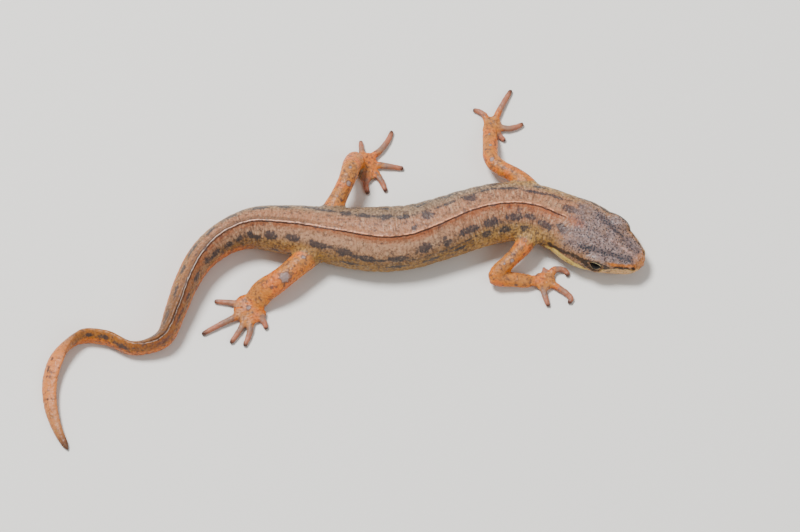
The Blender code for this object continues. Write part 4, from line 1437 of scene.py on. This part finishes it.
@dataclass(frozen=True)
class WetEye:
    """An eyeball under a clear wet cornea: black oval pupil, gold ring, sharp highlight."""

    pupil: str = "#050404"
    corner: str = "#0B0806"
    gold: str = "#D8C79C"
    dark_gold: str = "#5A4228"
    ior: float = 1.38
    pupil_stretch: float = 0.66

    def make(self) -> bpy.types.Material:
        """Makes the material.

        Returns:
            The eye's material.
        """
        # The places on the ball are shares of its radius.
        paint = PaintLayers("wet_newt_eye", self.pupil)
        tree = paint.tree
        look = add(tree, "ShaderNodeAttribute", attribute_name="eye_map")["Vector"]
        x, y, _ = add(tree, "ShaderNodeSeparateXYZ", {0: look})
        threads = add(tree, "ShaderNodeTexNoise", {"Vector": look, "Scale": 5, "Detail": 4})[0]
        oval = add(tree, "ShaderNodeCombineXYZ", {0: paint.both(x, self.pupil_stretch), 1: y})[0]
        far = add(tree, "ShaderNodeVectorMath", {0: oval}, operation="LENGTH")["Value"]
        paint.lay(self.gold, far, 0.44, 0.48)
        paint.lay(self.dark_gold, paint.tear(far, threads, 0.16), 0.58, 0.63)
        paint.lay(self.corner, far, 0.6, 0.68)
        bar = paint.tear(paint.off(y, 0), threads, 0.12)
        paint.lay(self.corner, bar, 0.27, 0.17, 0.94)
        return paint.finish(
            {
                "Roughness": 0.35,
                "IOR": self.ior,
                "Specular IOR Level": 0.1,
                "Coat Weight": 0.2,
                "Coat Roughness": 0.03,
                "Coat IOR": self.ior,
            }
        )


@dataclass(frozen=True)
class PaintedFloor:
    """Matte painted studio floor, pale and even."""

    colour: str = "#E4E2DD"
    roughness: float = 0.75

    def make(self) -> bpy.types.Material:
        """Makes the material.

        Returns:
            The floor's material.
        """
        made = bpy.data.materials.new("matte_painted_floor")
        made.use_nodes = True
        shader = made.node_tree.nodes["Principled BSDF"]
        shader.inputs["Base Color"].default_value = linear(self.colour)
        shader.inputs["Roughness"].default_value = self.roughness
        return made


@dataclass
class Newt:
    """The whole animal: skin and eyes."""

    trunk: Trunk = field(default_factory=Trunk)
    limbs: tuple = (FORE_RIGHT, FORE_LEFT, HIND_RIGHT, HIND_LEFT)
    # Size of the remesh, and how far from the snout its faces are divided once more.
    voxel: float = 0.169
    fine_to: float = 7.6
    cornea_height: float = 0.035
    head_sculpt: HeadSculpt = field(default_factory=HeadSculpt)
    body_sculpt: BodySculpt = field(default_factory=BodySculpt)
    marks: SkinMarks = field(default_factory=SkinMarks)

    def sockets(self) -> list:
        """Returns the two eyes' places."""
        return [EyeSocket(self.trunk, side) for side in Side]

    def rough_out(self) -> bpy.types.Object:
        """Rolls every tube, joins them and remeshes them into one closed skin.

        Returns:
            The skin, in millimetres.
        """
        parts = [roll_tube("newt_skin", self.trunk.rings())]
        for limb in self.limbs:
            for i, chain in enumerate(limb.chains()):
                parts.append(roll_tube(f"{limb.name}_{i}", chain.rings()))
        parts += [socket.swell() for socket in self.sockets()]
        bpy.ops.object.select_all(action="DESELECT")
        for part in parts:
            part.select_set(True)
        skin = parts[0]
        bpy.context.view_layer.objects.active = skin
        bpy.ops.object.join()
        remesh = skin.modifiers.new("remesh", "REMESH")
        remesh.mode = "VOXEL"
        remesh.voxel_size = self.voxel
        remesh.adaptivity = 0
        bpy.ops.object.modifier_apply(modifier=remesh.name)
        LOG.info("skin remeshed: %d faces", len(skin.data.polygons))
        return skin

    def refine_head(self, mapped: SkinMesh) -> None:
        """Divides the faces of the head once, for lids, lips and nostrils.

        Args:
            mapped: The skin's points with their places.
        """
        wanted = mapped.s < self.fine_to
        bpy.ops.object.mode_set(mode="EDIT")
        bpy.ops.mesh.select_mode(type="FACE")
        bpy.ops.mesh.select_all(action="DESELECT")
        bpy.ops.object.mode_set(mode="OBJECT")
        for face in mapped.piece.data.polygons:
            face.select = bool(wanted[face.vertices[0]]) and bool(wanted[face.vertices[2]])
        bpy.ops.object.mode_set(mode="EDIT")
        bpy.ops.mesh.subdivide(number_cuts=1, smoothness=0)
        bpy.ops.object.mode_set(mode="OBJECT")

    def build_skin(self) -> SkinMesh:
        """Makes the skin's shape.

        Returns:
            The skin's points with their places.
        """
        skin = self.rough_out()
        mapped = SkinMesh(skin, self.trunk, self.limbs)
        mapped.relax(rounds=3, strength=0.5)
        # Where limbs leave the trunk and hands leave the arms the creases are filled.
        wrist = hump(mapped.share, 1.0, 0.07) * (mapped.rho > 1.3)
        filled = 0.5 * np.clip(mapped.root + wrist, 0, 1)
        mapped.relax(rounds=14, strength=filled, keep_size=False)
        mapped.write()
        self.refine_head(mapped)
        mapped = SkinMesh(skin, self.trunk, self.limbs)
        mapped.relax(rounds=3, strength=0.5)
        self.head_sculpt.shape(mapped, self.sockets())
        self.body_sculpt.shape(mapped)
        mapped.relax(rounds=1, strength=0.35)
        mapped.co[:, 2] = np.maximum(mapped.co[:, 2], 0)
        mapped.write()
        LOG.info("skin sculpted: %d points", len(mapped.co))
        return mapped

    def dress_skin(self, mapped: SkinMesh) -> None:
        """Stores the places of the markings on the skin and gives it its material.

        Args:
            mapped: The skin's points with their places.
        """
        skin, marks, s, turn = mapped.piece, self.marks, mapped.s, np.abs(mapped.turn)
        streak = marks.eye_streak.field(mapped)
        # The dark streak also rings the eye's opening, drawn out a little to its corners.
        for socket in self.sockets():
            x, y, z = socket.local(mapped.co).T
            oval = np.hypot(x / (1.2 * socket.opening[0]), y / socket.opening[1])
            streak = np.maximum(streak, np.where(z > 0.1, hump(oval, 1.06, 0.34), 0))
        # The mouth's slit is painted shade, stored below zero in the lip field.
        mouth = Stroke((self.head_sculpt.mouth_line(),), marks.mouth_shade_width)
        mouth_slit_shade = np.maximum(mouth.field(mapped), marks.mouth_shade_left.field(mapped))
        lip = np.maximum(marks.lip_right.field(mapped), marks.lip_left.field(mapped))
        # The orange end of the back's line, behind the head.
        nape = np.exp(-((s - 8.9) ** 2 / 1.6 + mapped.side**2 / 0.35)) * (mapped.rise > 0)
        # Fine cross wrinkles show most behind the arms and round the hips, never on the limbs.
        hatched = 0.25 + hump(s, 18, 9) + hump(s, 49, 5) + 0.4 * hump(s, 33, 6)
        hatched = hatched * smooth_step(3, 10, turn) * smooth_step(84, 56, turn)
        hatched = hatched * smooth_step(8.5, 11, s) * (1 - mapped.limb)
        girth = np.radians(mapped.turn) * mapped.girth_radius()
        store(skin, "spine_map", (s, mapped.side, turn))
        store(skin, "girth_map", (s, girth, hatched))
        store(skin, "mark_map", (marks.blotch_field(mapped), streak, marks.jaw_pale.field(mapped)))
        crown, bridge = marks.crown_dark.field(mapped), marks.snout_pale.field(mapped)
        store(skin, "face_map", (crown, lip * (1 - mouth_slit_shade) - mouth_slit_shade, bridge - nape))
        store(skin, "limb_map", (mapped.limb, mapped.share, marks.spot_field(mapped)))
        skin.data.materials.clear()
        skin.data.materials.append(MoistNewtSkin().make())
        skin.data.shade_smooth()

    def build_eye(self, socket: EyeSocket) -> bpy.types.Object:
        """Makes one eyeball with its cornea's swell.

        Args:
            socket: The eye's place.

        Returns:
            The eye.
        """
        bpy.ops.object.select_all(action="DESELECT")
        bpy.ops.mesh.primitive_uv_sphere_add(segments=64, ring_count=40, radius=1)
        eye = bpy.context.object
        eye.name = f"newt_eye_{socket.side.name.lower()}"
        co = np.array([v.co for v in eye.data.vertices], float)
        store(eye, "eye_map", tuple(co.T))
        swell = 1 + self.cornea_height * smooth_step(0.55, 0.95, co[:, 2])
        placed = carry(socket.frame(), co * swell[:, None] * socket.radius)
        eye.data.vertices.foreach_set("co", placed.astype(np.float32).ravel())
        bpy.ops.object.mode_set(mode="EDIT")
        bpy.ops.mesh.select_all(action="SELECT")
        bpy.ops.mesh.normals_make_consistent(inside=False)
        bpy.ops.object.mode_set(mode="OBJECT")
        eye.data.materials.append(WetEye().make())
        eye.data.shade_smooth()
        return eye

    def settle(self, piece: bpy.types.Object) -> None:
        """Turns a finished piece to metres in the solids' frame."""
        piece.data.transform(Matrix.Scale(MM, 4) @ Matrix.Translation(PLAN_SHIFT))
        piece.data.update()

    def build(self) -> None:
        """Makes the skin and both eyes and hangs them on the frame."""
        mapped = self.build_skin()
        self.dress_skin(mapped)
        skin = mapped.piece
        self.settle(skin)
        flesh = [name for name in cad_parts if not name.startswith("eye_")]
        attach(skin, "root")
        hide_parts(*flesh)
        LOG.info("skin stands for %d nodes", len(flesh))
        for socket in self.sockets():
            eye = self.build_eye(socket)
            self.settle(eye)
            node = f"eye_{socket.side.name.lower()}"
            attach(eye, "root")
            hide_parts(node)
            LOG.info("eye set: %s", eye.name)


def store(piece: bpy.types.Object, name: str, parts: tuple) -> None:
    """Stores three values at each point of a piece.

    Args:
        piece: The piece.
        name: Name of the attribute.
        parts: The three rows of values.
    """
    attribute = piece.data.attributes.new(name, "FLOAT_VECTOR", "POINT")
    attribute.data.foreach_set("vector", np.stack(parts, axis=1).astype(np.float32).ravel())


def stand(data: bpy.types.ID, place: Vector, looking: Vector) -> bpy.types.Object:
    """Sets up a lamp or a camera.

    Args:
        data: The lamp or camera.
        place: Where it stands.
        looking: The way it looks.

    Returns:
        The object.
    """
    made = bpy.data.objects.new(data.name, data)
    bpy.context.scene.collection.objects.link(made)
    made.location = place
    made.rotation_mode = "QUATERNION"
    made.rotation_quaternion = looking.to_track_quat("-Z", "Y")
    return made


@dataclass
class Studio:
    """Floor, lights and camera."""

    floor_size: float = 3.0
    surround: float = 0.42
    # Name, place, size and power of each softbox.
    lamps: tuple = (
        ("key_softbox", (-0.22, 0.22, 0.6), 0.22, 8.0),
        ("fill_softbox", (0.45, -0.3, 0.45), 0.4, 1.2),
    )
    aim: tuple = (0.006224, 0.000042, 0.0)
    elevation: float = 67.0
    distance: float = 0.36
    sensor: float = 36.0
    pixels_per_mm: float = 8.7
    image_width: float = 800.0

    def build_floor(self) -> None:
        """Adds the pale floor."""
        bpy.ops.object.select_all(action="DESELECT")
        bpy.ops.mesh.primitive_plane_add(size=self.floor_size)
        floor = bpy.context.object
        floor.name = "studio_floor"
        floor.data.materials.append(PaintedFloor().make())

    def build_lights(self) -> None:
        """Adds a large soft light above, a weaker one beside it and a pale surround."""
        world = bpy.data.worlds.new("soft_surround")
        bpy.context.scene.world = world
        world.use_nodes = True
        sky = world.node_tree.nodes["Background"]
        sky.inputs["Color"].default_value = (1, 1, 1, 1)
        sky.inputs["Strength"].default_value = self.surround
        for name, place, size, power in self.lamps:
            lamp = bpy.data.lights.new(name, "AREA")
            lamp.shape = "DISK"
            lamp.size = size
            lamp.energy = power
            stand(lamp, Vector(place), -Vector(place))

    def build_camera(self) -> None:
        """Adds the camera at the photograph's angle and framing."""
        lens = bpy.data.cameras.new("photo_camera")
        lens.sensor_width = self.sensor
        span = self.image_width / self.pixels_per_mm
        lens.lens = self.sensor * self.distance / MM / span
        lens.clip_start, lens.clip_end = 0.01, 10.0
        rise = math.radians(self.elevation)
        looking = Vector((0, math.cos(rise), -math.sin(rise)))
        place = Vector(self.aim) - looking * self.distance
        bpy.context.scene.camera = stand(lens, place, looking)

    def build(self) -> None:
        """Adds floor, lights and camera."""
        self.build_floor()
        self.build_lights()
        self.build_camera()
        LOG.info("studio ready")


def main() -> None:
    """Builds the studio and the newt."""
    logging.basicConfig(level=logging.INFO)
    Studio().build()
    Newt().build()


if __name__ == "__main__":
    main()
